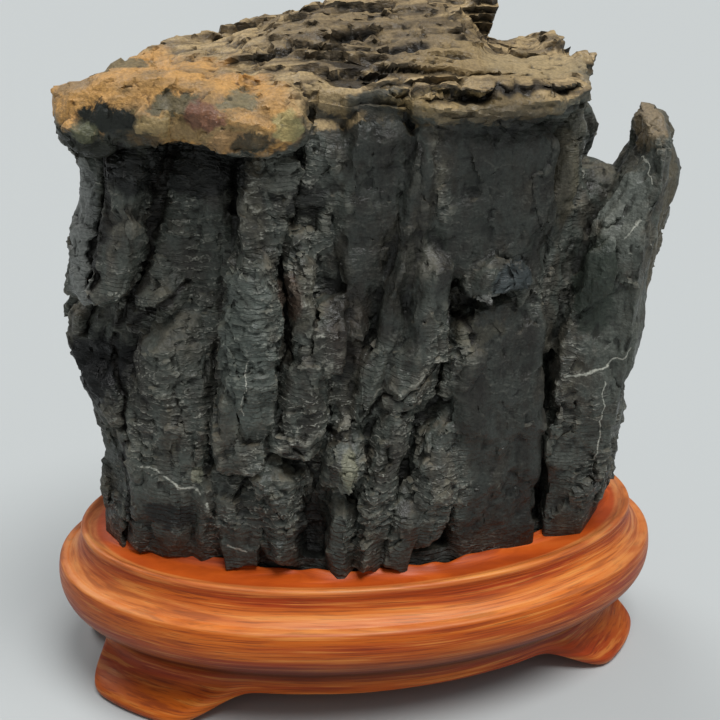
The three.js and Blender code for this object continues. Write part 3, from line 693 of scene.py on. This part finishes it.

    # Stains, pale beds and painted shadows, as centre, radii, colour and strength. Their edges fray into the stone
    # around them.
    fraying = add(tree, "ShaderNodeTexNoise", {"Vector": place, "Scale": 0.2, "Detail": 5.0, "Roughness": 0.65})
    frayed = add(tree, "ShaderNodeVectorMath", {0: fraying.outputs["Color"], 1: [0.5] * 3}, operation="SUBTRACT")
    stains_and_shadows = [
        ((-86, -9, 148), (5, 10, 26), "#7c7e7a", 0.85),
        # Painted shadow: the next seven nearly black patches lie under the cap's overhang, in the dark recess at the
        # left, under the low vein and in small recesses of the front.
        ((-58, -23, 173), (29, 16, 8.5), "#0c0d0b", 0.9),
        ((-80, -3, 107), (15, 17, 12), "#080908", 1.0),
        ((-66, -26, 66), (8, 12, 4.5), "#11110f", 0.85),
        ((-24, -37, 62), (5, 9, 11), "#10100f", 0.8),
        ((-14, -35, 118), (4, 9, 8), "#0f1110", 0.8),
        ((19, -41, 132), (4, 8, 7), "#131210", 0.8),
        ((-25, -37, 165), (6, 10, 5), "#131412", 0.75),
        ((-56, -36, 186.5), (26, 12, 3.6), "#8a7550", 0.75),
        ((-60, -35, 192.5), (7, 9, 3), "#454a3c", 0.85),
        ((-44, -38, 193.5), (6, 9, 2), "#5c5f4b", 0.7),
        ((-67, -32, 187), (6, 9, 3.6), "#8c7b55", 0.7),
        ((-46, -40, 184), (7, 9, 2.6), "#9c7a52", 0.7),
        ((-53.5, -39, 190.2), (5, 8, 3.8), "#6f4a39", 0.9),
        ((-40, -41, 183.5), (6, 9, 2.4), "#2e3128", 0.85),
        ((-88, -22, 178), (12, 16, 6), "#24261f", 1.0),
        ((-78, -27, 187), (11, 10, 4), "#1d201b", 1.0),
        ((-84, -23, 183.5), (4, 9, 3), "#5a5b44", 0.8),
        ((-70, -30, 181), (9, 10, 4), "#2c2e26", 0.85),
        ((-73, -7, 198), (9, 8, 4.5), "#5c5a45", 0.8),
        ((-32, -45, 188), (4, 9, 4), "#9b9566", 0.7),
        ((-18, -36, 193), (7, 9, 4.5), "#9a8560", 0.75),
        ((-4, -38, 192), (10.5, 8, 4.5), "#3b3d37", 0.85),
        ((0, -8, 204), (34, 26, 10), "#4a4031", 0.5),
        ((22, -34, 192), (26, 14, 4), "#8c7852", 0.8),
        ((25, -44, 189.5), (23, 7, 2.8), "#82745a", 0.8),
        ((30, -24, 200), (24, 15, 6), "#8f7a55", 0.75),
        ((52, -29, 168), (5, 10, 14), "#6b6350", 0.55),
        ((57, -27, 190), (6, 12, 11), "#5b594e", 0.75),
        ((77, -26, 183), (7, 9, 8), "#83735a", 0.85),
        ((87, -22, 140), (5, 14, 48), "#57503f", 0.75),
        ((69, -35, 160), (7, 9, 18), "#6c7069", 0.75),
        ((72, -36, 120), (9, 9, 18), "#565a53", 0.6),
        ((62, -35, 136), (7, 9, 16), "#2b332b", 0.8),
        ((34, -42, 141), (7, 8, 5), "#3f4749", 0.85),
        ((26.5, -43, 136), (3.6, 7, 1.8), "#9a9a94", 0.85),
        ((24, -42, 126), (8, 8, 3), "#5f5c4e", 0.6),
        ((-14, -45, 86), (2.8, 8, 6), "#82816d", 0.75),
        ((-57, -28, 79.5), (1.9, 8, 3), "#93927f", 0.85),
        ((-16, -37, 140), (1.7, 8, 4.4), "#6e7068", 0.7),
        ((-13, -41, 128), (8, 9, 14), "#352b24", 0.5),
        ((-30, -38, 138), (4, 8, 7), "#573f32", 0.5),
        ((6, -42, 149), (5, 8, 6), "#66645a", 0.6),
        ((-32, -38, 174), (6, 9, 5.4), "#5d5f58", 0.7),
        ((42, -20, 199), (18, 14, 5), "#a08d69", 0.6),
        ((-43, -39, 126), (9, 9, 28), "#59605a", 0.6),
        ((-66, -30, 130), (14, 12, 26), "#51534c", 0.4),
    ]
    for centre, radii, hex_value, strength in stains_and_shadows:
        reach = min(13.0, 1.7 * radii[0])
        strayed = add(tree, "ShaderNodeVectorMath", {0: frayed, "Scale": reach}, operation="SCALE")
        frayed_place = add(tree, "ShaderNodeVectorMath", {0: place, 1: strayed}, operation="ADD")
        away = add(tree, "ShaderNodeVectorMath", {0: frayed_place, 1: centre}, operation="SUBTRACT")
        scaled = add(tree, "ShaderNodeVectorMath", {0: away, 1: radii}, operation="DIVIDE")
        far = add(tree, "ShaderNodeVectorMath", {0: scaled}, operation="LENGTH")
        skin = over(
            skin, colour(hex_value), times(tree, between(tree, far.outputs["Value"], 0.82, 1.18, 1.0, 0.0), strength)
        )

    # Calcite veins, as the two ends of each and its width.
    veins = [
        ((-77, -19, 80), (-71, -24, 81.5), 0.55),
        ((-71, -24, 81.5), (-66, -27, 79), 0.55),
        ((-66, -27, 79), (-63, -28, 76), 0.55),
        ((-63, -28, 76), (-58, -28, 75), 0.55),
        ((-58, -28, 76), (-55, -33, 72), 0.55),
        ((-55, -33, 72), (-52, -30, 63), 0.5),
        ((-52, -30, 63), (-49, -34, 58), 0.5),
        ((-49, -34, 58), (-44, -36, 56), 0.45),
        ((54, -37, 107), (65, -38, 110), 0.45),
        ((65, -38, 110), (74, -38, 116), 0.45),
        ((66, -38, 106), (67, -37, 85), 0.3),
        ((67, -37, 85), (67, -30, 58), 0.3),
        ((76, -32, 178), (77, -32, 166), 0.25),
        ((77, -32, 166), (74, -34, 156), 0.3),
        ((74, -34, 156), (70, -34, 150), 0.3),
        ((77, -32, 166), (78, -34, 148), 0.3),
        ((-43.5, -39, 121), (-44.5, -39, 104), 0.25),
    ]
    waver = add(tree, "ShaderNodeTexNoise", {"Vector": place, "Scale": 0.2, "Detail": 4.0})
    sway = add(tree, "ShaderNodeVectorMath", {0: waver.outputs["Color"], 1: [0.5] * 3}, operation="SUBTRACT")
    swayed = add(tree, "ShaderNodeVectorMath", {0: sway, "Scale": 4.0}, operation="SCALE")
    wavering = add(tree, "ShaderNodeVectorMath", {0: place, 1: swayed}, operation="ADD")
    for start, end, width in veins:
        line = [e - s for s, e in zip(start, end)]
        long_squared = sum(v * v for v in line)
        flat = [1.0, 0.02, 1.0]
        away = add(tree, "ShaderNodeVectorMath", {0: wavering, 1: start}, operation="SUBTRACT")
        run = add(tree, "ShaderNodeVectorMath", {0: away, 1: line}, operation="DOT_PRODUCT")
        share = add(
            tree, "ShaderNodeMath", {0: run.outputs["Value"], 1: long_squared}, operation="DIVIDE", use_clamp=True
        )
        nearest = add(tree, "ShaderNodeVectorMath", {0: line, "Scale": share}, operation="SCALE")
        gap = add(tree, "ShaderNodeVectorMath", {0: away, 1: nearest}, operation="SUBTRACT")
        flattened = add(tree, "ShaderNodeVectorMath", {0: gap, 1: flat}, operation="MULTIPLY")
        far = add(tree, "ShaderNodeVectorMath", {0: flattened}, operation="LENGTH")
        vein = times(tree, between(tree, far.outputs["Value"], width * 0.3, width, 1.0, 0.0), 0.85)
        skin = over(skin, colour("#b4b4a8"), vein)

    # Hollows, clefts and cracks are painted nearly black as shade, though less so among the pale beds of the top.
    open_top = between(tree, taupe, 0.0, 1.0, 1.0, 0.6)
    hollow_shade = times(tree, between(tree, hollow, -3.0, -0.3, 1.0, 0.0), 0.8, open_top)
    skin = over(skin, colour("#121210"), hollow_shade)
    skin = over(skin, colour("#15110d"), times(tree, between(tree, cleft, 0.3, 0.8), 0.85))
    crevice_shade = times(tree, between(tree, ridge, -0.34, -0.06, 1.0, 0.0), 0.6)
    skin = over(skin, colour("#161511"), crevice_shade)
    speck = between(tree, grainy, 0.3, 0.7, 0.78, 1.22)
    panel = times(tree, calm, between(tree, axes.outputs["X"], 52.0, 60.0, 1.0, 0.0))
    shade = times(
        tree,
        speck,
        between(tree, panel, 0.0, 1.0, 1.04, 0.5),
        between(tree, axes.outputs["Z"], 46.0, 88.0, 0.5, 1.0),
    )
    skin = add(tree, "ShaderNodeVectorMath", {0: skin, "Scale": shade}, operation="SCALE")

    # Fine relief that is too small for the mesh: thin crests on the wrinkles, split faces and grit.
    thin = times(
        tree,
        between(tree, apart, 0.0, 0.05, 1.0, 0.0),
        between(tree, calm, 0.0, 0.8, 1.0, 0.0),
        patchy,
        upright,
    )
    flaky = noise(tree, place, (2.4, 2.4, 1.5), 8.0, 3.0)
    torn = times(tree, noise(tree, place, (1.6, 1.6, 14), 17.0, 4.0), calm)
    fine_part = lip_part(tree, place, 1.5, 14.0)
    fine_lip = times(
        tree,
        add(tree, "ShaderNodeMath", {0: 1.0, 1: fine_part}, operation="SUBTRACT"),
        between(tree, fine_part, 0.0, 0.2),
        between(tree, noise(tree, place, (10, 10, 8), 13.0), 0.42, 0.58, 0.1, 1.0),
        between(tree, calm, 0.0, 0.8, 1.0, 0.0),
        upright,
    )
    chipped = add(tree, "ShaderNodeTexVoronoi", {"Vector": place, "Scale": 0.4})
    relief = add(tree, "ShaderNodeMath", {0: times(tree, thin, 0.8), 1: times(tree, grainy, 0.6)}, operation="ADD")
    relief = add(tree, "ShaderNodeMath", {0: relief, 1: times(tree, chipped, 0.5)}, operation="ADD")
    relief = add(tree, "ShaderNodeMath", {0: relief, 1: times(tree, flaky, 1.6)}, operation="ADD")
    relief = add(tree, "ShaderNodeMath", {0: relief, 1: times(tree, fine_lip, 1.1)}, operation="ADD")
    relief = add(tree, "ShaderNodeMath", {0: relief, 1: times(tree, torn, 1.2)}, operation="ADD")
    bump = add(tree, "ShaderNodeBump", {"Strength": 1.0, "Distance": 0.45 * MM, "Height": relief})

    sheen = between(tree, mottled, 0.35, 0.65, 0.36, 0.68)
    shader = add(
        tree,
        "ShaderNodeBsdfPrincipled",
        {"Base Color": skin, "Roughness": sheen, "IOR": 1.55, "Specular IOR Level": 0.28, "Normal": bump},
    )
    add(tree, "ShaderNodeOutputMaterial", {"Surface": shader})
    return material


def lacquered_rosewood():
    """Orange-red rosewood, sawn along the stand, carved by hand and finished with clear lacquer applied by rubbing.

    The lacquer fills the pores, so the surface is smooth with a satin gloss. The grain is a solid pattern:
    long dark streaks along the front and close rings where the ends cut across it.
    """
    material, tree = blank_material("lacquered rosewood")
    where = add(tree, "ShaderNodeTexCoord")
    place = add(tree, "ShaderNodeVectorMath", {0: where.outputs["Object"], "Scale": 1 / MM}, operation="SCALE")
    axes = add(tree, "ShaderNodeSeparateXYZ", {0: place})

    def over(under, cover, share):
        return add(
            tree, "ShaderNodeMix", {0: share, 6: under, 7: cover}, data_type="RGBA", blend_type="MIX"
        ).outputs[2]

    edge = add(tree, "ShaderNodeAttribute", attribute_name="edge").outputs["Fac"]
    surface = add(tree, "ShaderNodeNewGeometry")
    facing = add(tree, "ShaderNodeSeparateXYZ", {0: surface.outputs["Normal"]})
    bend = add(tree, "ShaderNodeTexNoise", {"Vector": place, "Scale": 1 / 90, "Detail": 1.0})
    swing = add(tree, "ShaderNodeVectorMath", {0: bend.outputs["Color"], "Scale": 8.0}, operation="SCALE")
    bent = add(tree, "ShaderNodeVectorMath", {0: place, 1: swing}, operation="ADD")
    broad = noise(tree, bent, (110, 30, 5), 1.0, 2.0)
    streaky = noise(tree, bent, (46, 15, 1.1), 2.0, 5.0)
    fine = noise(tree, bent, (16, 6, 0.36), 3.0, 4.0)

    base = over(colour("#b03f08"), colour("#d56914"), between(tree, broad, 0.36, 0.62))
    light = times(tree, between(tree, streaky, 0.51, 0.65), 0.65)
    base = over(base, colour("#ea9443"), light)
    dark = times(tree, between(tree, streaky, 0.36, 0.48, 1.0, 0.0), 0.6)
    base = over(base, colour("#7d2c0c"), dark)
    pores = times(tree, between(tree, fine, 0.36, 0.48, 1.0, 0.0), 0.5)
    base = over(base, colour("#6a240a"), pores)
    # Both ends are painted darker: end grain soaks up more lacquer, and painted shade is added there as well.
    across = add(tree, "ShaderNodeMath", {0: axes.outputs["X"]}, operation="ABSOLUTE")
    base = over(base, colour("#6e2a0c"), times(tree, between(tree, across, 52.0, 96.0), 0.42))
    # The seat is cut across the grain and stays plainer.
    inside = add(tree, "ShaderNodeVectorMath", {0: place, 1: [1 / 88.5, 1 / 51, 0]}, operation="MULTIPLY")
    far = add(tree, "ShaderNodeVectorMath", {0: inside}, operation="LENGTH")
    seat = times(
        tree,
        between(tree, far.outputs["Value"], 0.98, 1.01, 1.0, 0.0),
        between(tree, axes.outputs["Z"], 40.0, 44.0),
        0.8,
    )
    plain = over(colour("#a5400f"), colour("#c9561a"), between(tree, streaky, 0.38, 0.6))
    base = over(base, plain, seat)
    # Arrises and faces that look up are painted paler in streaks, as a painted highlight.
    outside = between(tree, far.outputs["Value"], 0.985, 1.0)
    lightened_share = add(
        tree,
        "ShaderNodeMath",
        {
            0: times(tree, between(tree, edge, 0.03, 0.14), 0.42),
            1: times(tree, between(tree, facing.outputs["Z"], 0.15, 0.8), 0.3),
        },
        operation="MAXIMUM",
    )
    highlight_share = between(tree, streaky, 0.4, 0.56, 0.45, 1.0)
    painted_highlight = times(tree, lightened_share, between(tree, axes.outputs["Z"], 34.0, 38.0), outside, highlight_share)
    base = over(base, colour("#f5b06a"), painted_highlight)
    # Painted shade darkens the waist above the feet and the faces that look down under the bulge, with some old polish
    # and dirt there too.
    waist = add(tree, "ShaderNodeVectorMath", {0: place, 1: [1 / 93, 1 / 55.5, 0]}, operation="MULTIPLY")
    recess = add(tree, "ShaderNodeVectorMath", {0: waist}, operation="LENGTH")
    shaded = times(
        tree,
        between(tree, axes.outputs["Z"], 19.0, 37.0, 1.0, 0.0),
        between(tree, axes.outputs["Z"], 10.0, 19.0),
        0.9,
    )
    tucked = between(tree, recess.outputs["Value"], 0.93, 1.0, 1.0, 0.0)
    under = between(tree, facing.outputs["Z"], -0.6, 0.0, 1.0, 0.0)
    dim = add(tree, "ShaderNodeMath", {0: tucked, 1: under}, operation="MAXIMUM")
    base = over(base, colour("#35140a"), times(tree, dim, shaded))

    relief = add(tree, "ShaderNodeMath", {0: fine, 1: times(tree, streaky, 0.8)}, operation="ADD")
    bump = add(tree, "ShaderNodeBump", {"Strength": 0.5, "Distance": 0.2 * MM, "Height": relief})
    shader = add(
        tree,
        "ShaderNodeBsdfPrincipled",
        {
            "Base Color": base,
            "Roughness": between(tree, streaky, 0.3, 0.7, 0.52, 0.38),
            "IOR": 1.5,
            "Specular IOR Level": 0.3,
            "Normal": bump,
        },
    )
    add(tree, "ShaderNodeOutputMaterial", {"Surface": shader})
    return material


def add_leaf(shape, outline, near, far):
    """A closed leaf of slate, thinner at its edge than in its middle, from its outline in x and z."""
    corners = []
    middle_x = sum(x for x, z in outline) / len(outline)
    middle_z = sum(z for x, z in outline) / len(outline)
    for y, share in ((near, 0.72), ((near + far) / 2, 1.0), (far, 0.72)):
        for x, z in outline:
            corners.append((middle_x + (x - middle_x) * share, y, middle_z + (z - middle_z) * share))
    add_wedge(shape, corners)


def add_lump(shape, centre, radii):
    """A closed craggy lump."""
    place = Matrix.Translation(Vector(centre) * MM) @ Matrix.Diagonal((*radii, 1.0)) @ Matrix.Scale(MM, 4)
    lump = bmesh.ops.create_icosphere(shape, subdivisions=3, radius=1.0)
    for corner in lump["verts"]:
        swell = gouges.noise(corner.co * 1.4 + Vector(centre))
        corner.co = place @ (corner.co * (1 + 0.35 * swell))


def add_wedge(shape, corners):
    """A closed wedge round its corners."""
    made = [shape.verts.new(Vector(corner) * MM) for corner in corners]
    hull = bmesh.ops.convex_hull(shape, input=made)
    loose = {item for item in hull["geom_interior"] + hull["geom_unused"] if isinstance(item, bmesh.types.BMVert)}
    bmesh.ops.delete(shape, geom=list(loose), context="VERTS")


def line_gap(across, up, line):
    """The distance of each point from a line of x, z points, as seen from the front."""
    nearest = np.full(len(across), 1e3)
    for (x_from, z_from), (x_to, z_to) in zip(line, line[1:]):
        run_x, run_z = x_to - x_from, z_to - z_from
        share = ((across - x_from) * run_x + (up - z_from) * run_z) / (run_x ** 2 + run_z ** 2)
        share = np.clip(share, 0, 1)
        gap = np.hypot(across - x_from - share * run_x, up - z_from - share * run_z)
        nearest = np.minimum(nearest, gap)
    return nearest


def slate_stone(finish):
    """The stone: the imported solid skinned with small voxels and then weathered."""
    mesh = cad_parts["stone"].data.copy()
    merged = bmesh.new()
    merged.from_mesh(mesh)
    bmesh.ops.remove_doubles(merged, verts=merged.verts, dist=0.001 * MM)
    for outline, near, far in TOP_LEAVES:
        add_leaf(merged, outline, near, far)
    for centre, radii in LUMPS:
        add_lump(merged, centre, radii)
    for corners in FRONT_WEDGES:
        add_wedge(merged, corners)
    merged.to_mesh(mesh)
    merged.free()
    mesh.materials.clear()
    stone = piece_from("slate_stone", mesh)

    skin = stone.modifiers.new("skin", "REMESH")
    skin.mode = "VOXEL"
    skin.voxel_size = SKIN_VOXEL * MM
    settled(stone)

    mesh = stone.data
    points = np.empty(len(mesh.vertices) * 3)
    mesh.vertices.foreach_get("co", points)
    points = points.reshape(-1, 3) / MM
    x, y, z = points.T
    x_bent = x + 2.5 * np.sin(z / 7) + 1.5 * np.sin(z / 17 + 1)
    z_bent = z + 4 * np.sin(x / 6) + 3 * np.sin(x / 13 + 2)
    calm = np.zeros(len(points))
    for x_from, x_to, z_from, z_to in CALM_PANELS:
        across = ease(x_bent, x_from - 4, x_from + 4) * (1 - ease(x_bent, x_to - 4, x_to + 4))
        upright = ease(z_bent, z_from - 7, z_from + 7) * (1 - ease(z_bent, z_to - 7, z_to + 7))
        calm = np.maximum(calm, across * upright * (1 - ease(y, -8, 0)))
    mesh.attributes.new("calm", "FLOAT", "POINT").data.foreach_set("value", calm)
    for (middle_x, middle_z), (reach_x, reach_z), (shift_x, shift_z) in OUTLINE_PULLS:
        pull = np.exp(-(((x - middle_x) / reach_x) ** 2) - ((z - middle_z) / reach_z) ** 2)
        points[:, 0] += shift_x * pull
        points[:, 2] += shift_z * pull
    x_ragged = x + 0.6 * np.sin(z / 2.9 + 1.7 * np.sin(z / 7.3)) + 0.5 * np.sin(z / 1.3 + 2.1 * np.sin(z / 4.7))
    z_ragged = z + 0.5 * np.sin(x / 3.1 + 1.9 * np.sin(x / 8.3)) + 0.5 * np.sin(x / 1.4 + 2.3 * np.sin(x / 5.1))
    front = 1 - ease(y, -4, 8)
    cleft = np.zeros(len(points))
    for line, width, depth in CLEFTS:
        share = np.exp(-(line_gap(x_ragged, z_ragged, line) / width) ** 2) * front
        points[:, 1] += depth * share
        cleft = np.maximum(cleft, share)
    y_ragged = y + 1.0 * np.sin(x / 3.7 + 2.1 * np.sin(x / 9.1)) + 0.5 * np.sin(x / 1.6 + 1.9 * np.sin(x / 5.9))
    for middle, radii in TOP_SLOTS:
        away = (np.stack((x_ragged, y_ragged, z_ragged), axis=1) - middle) / radii
        share = np.exp(-((away ** 2).sum(axis=1) ** 2))
        points[:, 2] -= SLOT_DEPTH * share
        cleft = np.maximum(cleft, share)
    line, width, height = CREST
    crest = np.exp(-(line_gap(x_ragged, z_ragged, line) / width) ** 2) * front
    points[:, 1] -= height * crest * (0.6 + 0.4 * np.sin(x / 1.7))
    # The finish paints the clefts and slots nearly black as shade, and the crest paler as a highlight.
    mesh.attributes.new("cleft", "FLOAT", "POINT").data.foreach_set("value", cleft)
    mesh.attributes.new("crest", "FLOAT", "POINT").data.foreach_set("value", crest)
    feet = z > SHELF_HEIGHT
    points[:, 2] -= feet * FOOT_DROP * (1 - ease(z, SHELF_HEIGHT + 2, FOOT_TOP))
    mesh.vertices.foreach_set("co", (points * MM).ravel())
    mesh.update()

    weather = stone.modifiers.new("weather", "NODES")
    weather.node_group = slate_weathering()
    values = {
        "Block Size": 12.0, "Block Shift": 1.1, "Fold Size": 26.0, "Fold Depth": 1.5, "Scallop Size": 14.0,
        "Scallop Depth": 0.9, "Chip Size": 5.0, "Chip Depth": 0.7, "Wrinkle Length": WRINKLE_LENGTH,
        "Wrinkle Spacing": WRINKLE_SPACING, "Wrinkle Depth": 0.45, "Lip Depth": 1.0, "Streak Width": 1.7,
        "Streak Depth": 0.35, "Bed Height": 3.8, "Bed Strength": 0.8, "Undercut": 2.2,
        "Highest": cad_box[1][2] - 0.05 * MM, "Seed": 4.0, "Finish": finish,
    }
    set_inputs(weather, values)
    settled(stone)

    thin = stone.modifiers.new("thin", "DECIMATE")
    stone.data.calc_loop_triangles()
    thin.ratio = min(1.0, STONE_TRIANGLES / len(stone.data.loop_triangles))
    settled(stone)
    stone.data.shade_smooth()
    stone.data.set_sharp_from_angle(angle=math.radians(40))
    return stone


def foot_share(degrees):
    """1 at the middle of a foot and 0 between the feet."""
    nearest = min(abs((degrees - a + 540) % 360 - 180) for a in FOOT_ANGLES)
    return float(ease(FOOT_HALF_ANGLE + FOOT_RAMP_ANGLE - nearest, 0, FOOT_RAMP_ANGLE))


def rim_point(degrees, reach, height):
    """A point at a reach out from the rim's crest."""
    angle = math.radians(degrees)
    out = Vector((math.cos(angle) / RIM_HALF_LENGTH, math.sin(angle) / RIM_HALF_DEPTH, 0)).normalized()
    rim = Vector((RIM_HALF_LENGTH * math.cos(angle), RIM_HALF_DEPTH * math.sin(angle), height))
    return rim + out * reach


def seat_point(degrees, outside, height):
    """A point outside the root by a distance, where a line from the middle crosses the root's outline."""
    angle = math.radians(degrees)
    ray = Vector((math.cos(angle), math.sin(angle)))
    for start, end in zip(ROOT_PLAN, ROOT_PLAN[1:] + ROOT_PLAN[:1]):
        start, side = Vector(start), Vector(end) - Vector(start)
        turn = ray.cross(side)
        if abs(turn) < 1e-9:
            continue
        distance = start.cross(side) / turn
        share = start.cross(ray) / turn
        if distance > 0 and -1e-6 <= share <= 1 + 1e-6:
            return Vector((*(ray * (distance + outside)), height))
    raise ValueError("the root's outline doesn't go round the middle")


def carving_tree():
    """The slight unevenness that gouge and scraper leave on a hand-carved stand."""
    tree, given = new_tree("hand carving", ["Gouge Size", "Gouge Depth"])
    position = add(tree, "GeometryNodeInputPosition")
    place = add(tree, "ShaderNodeVectorMath", {0: position, "Scale": 1 / MM}, operation="SCALE")
    grain = add(tree, "ShaderNodeMath", {0: 1.0, 1: given.outputs["Gouge Size"]}, operation="DIVIDE")
    waves = add(
        tree,
        "ShaderNodeTexNoise",
        {"Vector": place, "W": given.outputs["Seed"], "Scale": grain, "Detail": 1.0},
        noise_dimensions="4D",
    )
    centred = add(tree, "ShaderNodeMath", {0: waves, 1: 0.5}, operation="SUBTRACT")
    axes = add(tree, "ShaderNodeSeparateXYZ", {0: place})
    above = between(tree, axes.outputs["Z"], 1.0, 6.0)
    shape = pushed(
        tree, given.outputs["Geometry"], times(tree, centred, 2.0, given.outputs["Gouge Depth"], above)
    )
    around = add(tree, "GeometryNodeBlurAttribute", {"Value": place, "Iterations": 8}, data_type="FLOAT_VECTOR")
    out = add(tree, "ShaderNodeVectorMath", {0: place, 1: around}, operation="SUBTRACT")
    normal = add(tree, "GeometryNodeInputNormal")
    stands = add(tree, "ShaderNodeVectorMath", {0: out, 1: normal}, operation="DOT_PRODUCT")
    shape = add(
        tree,
        "GeometryNodeStoreNamedAttribute",
        {"Geometry": shape, "Name": "edge", "Value": stands.outputs["Value"]},
        data_type="FLOAT",
        domain="POINT",
    )
    real = add(tree, "GeometryNodeRealizeInstances", {"Geometry": shape})
    finished = add(tree, "GeometryNodeSetMaterial", {"Geometry": real, "Material": given.outputs["Finish"]})
    add(tree, "NodeGroupOutput", {"Geometry": finished})
    return tree


def rosewood_stand(finish):
    """The stand: its section carried round the rim, closed by the underside and by the seat."""
    turns = [360 * k / STAND_STEPS for k in range(STAND_STEPS)]
    rings = []
    for apron, foot in STAND_SECTION:
        ring = []
        for degrees in turns:
            share = foot_share(degrees)
            reach = apron[0] + (foot[0] - apron[0]) * share
            height = apron[1] + (foot[1] - apron[1]) * share
            ring.append(rim_point(degrees, reach, height))
        rings.append(ring)
    for outside, height, ragged in COLLAR:
        ring = []
        for degrees in turns:
            bite = gouges.noise(Vector((degrees / 9, outside, 0))) * ragged
            ring.append(seat_point(degrees, outside, height + bite))
        rings.append(ring)

    loft = bmesh.new()
    rows = [[loft.verts.new(point * MM) for point in ring] for ring in rings]
    for low, high in zip(rows, rows[1:]):
        for k in range(STAND_STEPS):
            after = (k + 1) % STAND_STEPS
            loft.faces.new((low[k], low[after], high[after], high[k]))
    for row, height, flip in ((rows[0], APRON_HEIGHT, True), (rows[-1], SEAT_HEIGHT, False)):
        middle = loft.verts.new(Vector((0, 0, height)) * MM)
        for k in range(STAND_STEPS):
            pair = (row[k], row[(k + 1) % STAND_STEPS])
            loft.faces.new((*(reversed(pair) if flip else pair), middle))
    bmesh.ops.recalc_face_normals(loft, faces=loft.faces)
    mesh = bpy.data.meshes.new("rosewood_stand")
    loft.to_mesh(mesh)
    loft.free()
    stand = piece_from("rosewood_stand", mesh)

    smooth = stand.modifiers.new("smooth", "SUBSURF")
    smooth.levels = 2
    smooth.render_levels = 2
    carve = stand.modifiers.new("carve", "NODES")
    carve.node_group = carving_tree()
    set_inputs(carve, {"Gouge Size": 36.0, "Gouge Depth": 0.3, "Seed": 2.0, "Finish": finish})
    settled(stand)
    stand.data.shade_smooth()
    return stand


def studio():
    """A pale floor, a soft light from above at the right, a weak one from behind, and even light all round."""
    bpy.ops.mesh.primitive_plane_add(size=40)
    floor = bpy.context.object
    floor.name = "studio_floor"
    paper, tree = blank_material("studio paper")
    shader = add(tree, "ShaderNodeBsdfPrincipled", {"Base Color": colour("#b8bcbc"), "Roughness": 0.9})
    add(tree, "ShaderNodeOutputMaterial", {"Surface": shader})
    floor.data.materials.append(paper)

    for name, place, spread, power in (
        ("overhead", (0.15, -0.29, 0.9), 32, 2.6),
        ("behind", (-0.35, 0.6, 0.8), 40, 0.9),
    ):
        lamp = bpy.data.lights.new(name, "SUN")
        lamp.angle = math.radians(spread)
        lamp.energy = power
        light = bpy.data.objects.new(name, lamp)
        light.location = place
        light.rotation_euler = Vector(place).to_track_quat("Z", "Y").to_euler()
        bpy.context.scene.collection.objects.link(light)

    world = bpy.data.worlds.new("studio")
    world.use_nodes = True
    world.node_tree.nodes["Background"].inputs["Color"].default_value = colour("#dfe3e6")
    world.node_tree.nodes["Background"].inputs["Strength"].default_value = 0.34
    bpy.context.scene.world = world
    bpy.context.scene.view_settings.view_transform = "Standard"


def photographer():
    """The camera at the photograph's place: from the front left, a little above."""
    target = Vector((-1.6, 0, 102)) * MM
    azimuth, elevation, roll = (math.radians(d) for d in (-12, 22, 1))
    back = Vector(
        (
            math.sin(azimuth) * math.cos(elevation),
            -math.cos(azimuth) * math.cos(elevation),
            math.sin(elevation),
        )
    )
    right = Vector((math.cos(azimuth), math.sin(azimuth), 0))
    up = back.cross(right)
    turned_right = right * math.cos(roll) + up * math.sin(roll)
    turned_up = up * math.cos(roll) - right * math.sin(roll)
    lens = bpy.data.cameras.new("camera")
    lens.lens = 66.8
    lens.sensor_width = 36
    camera = bpy.data.objects.new("camera", lens)
    turn = Matrix((turned_right, turned_up, back)).transposed().to_4x4()
    camera.matrix_world = Matrix.Translation(target + back * 0.430) @ turn
    bpy.context.scene.collection.objects.link(camera)
    bpy.context.scene.camera = camera


stone = slate_stone(weathered_slate())
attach(stone, "root")
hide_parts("stone")

stand = rosewood_stand(lacquered_rosewood())
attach(stand, "root")
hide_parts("stand")

studio()
photographer()
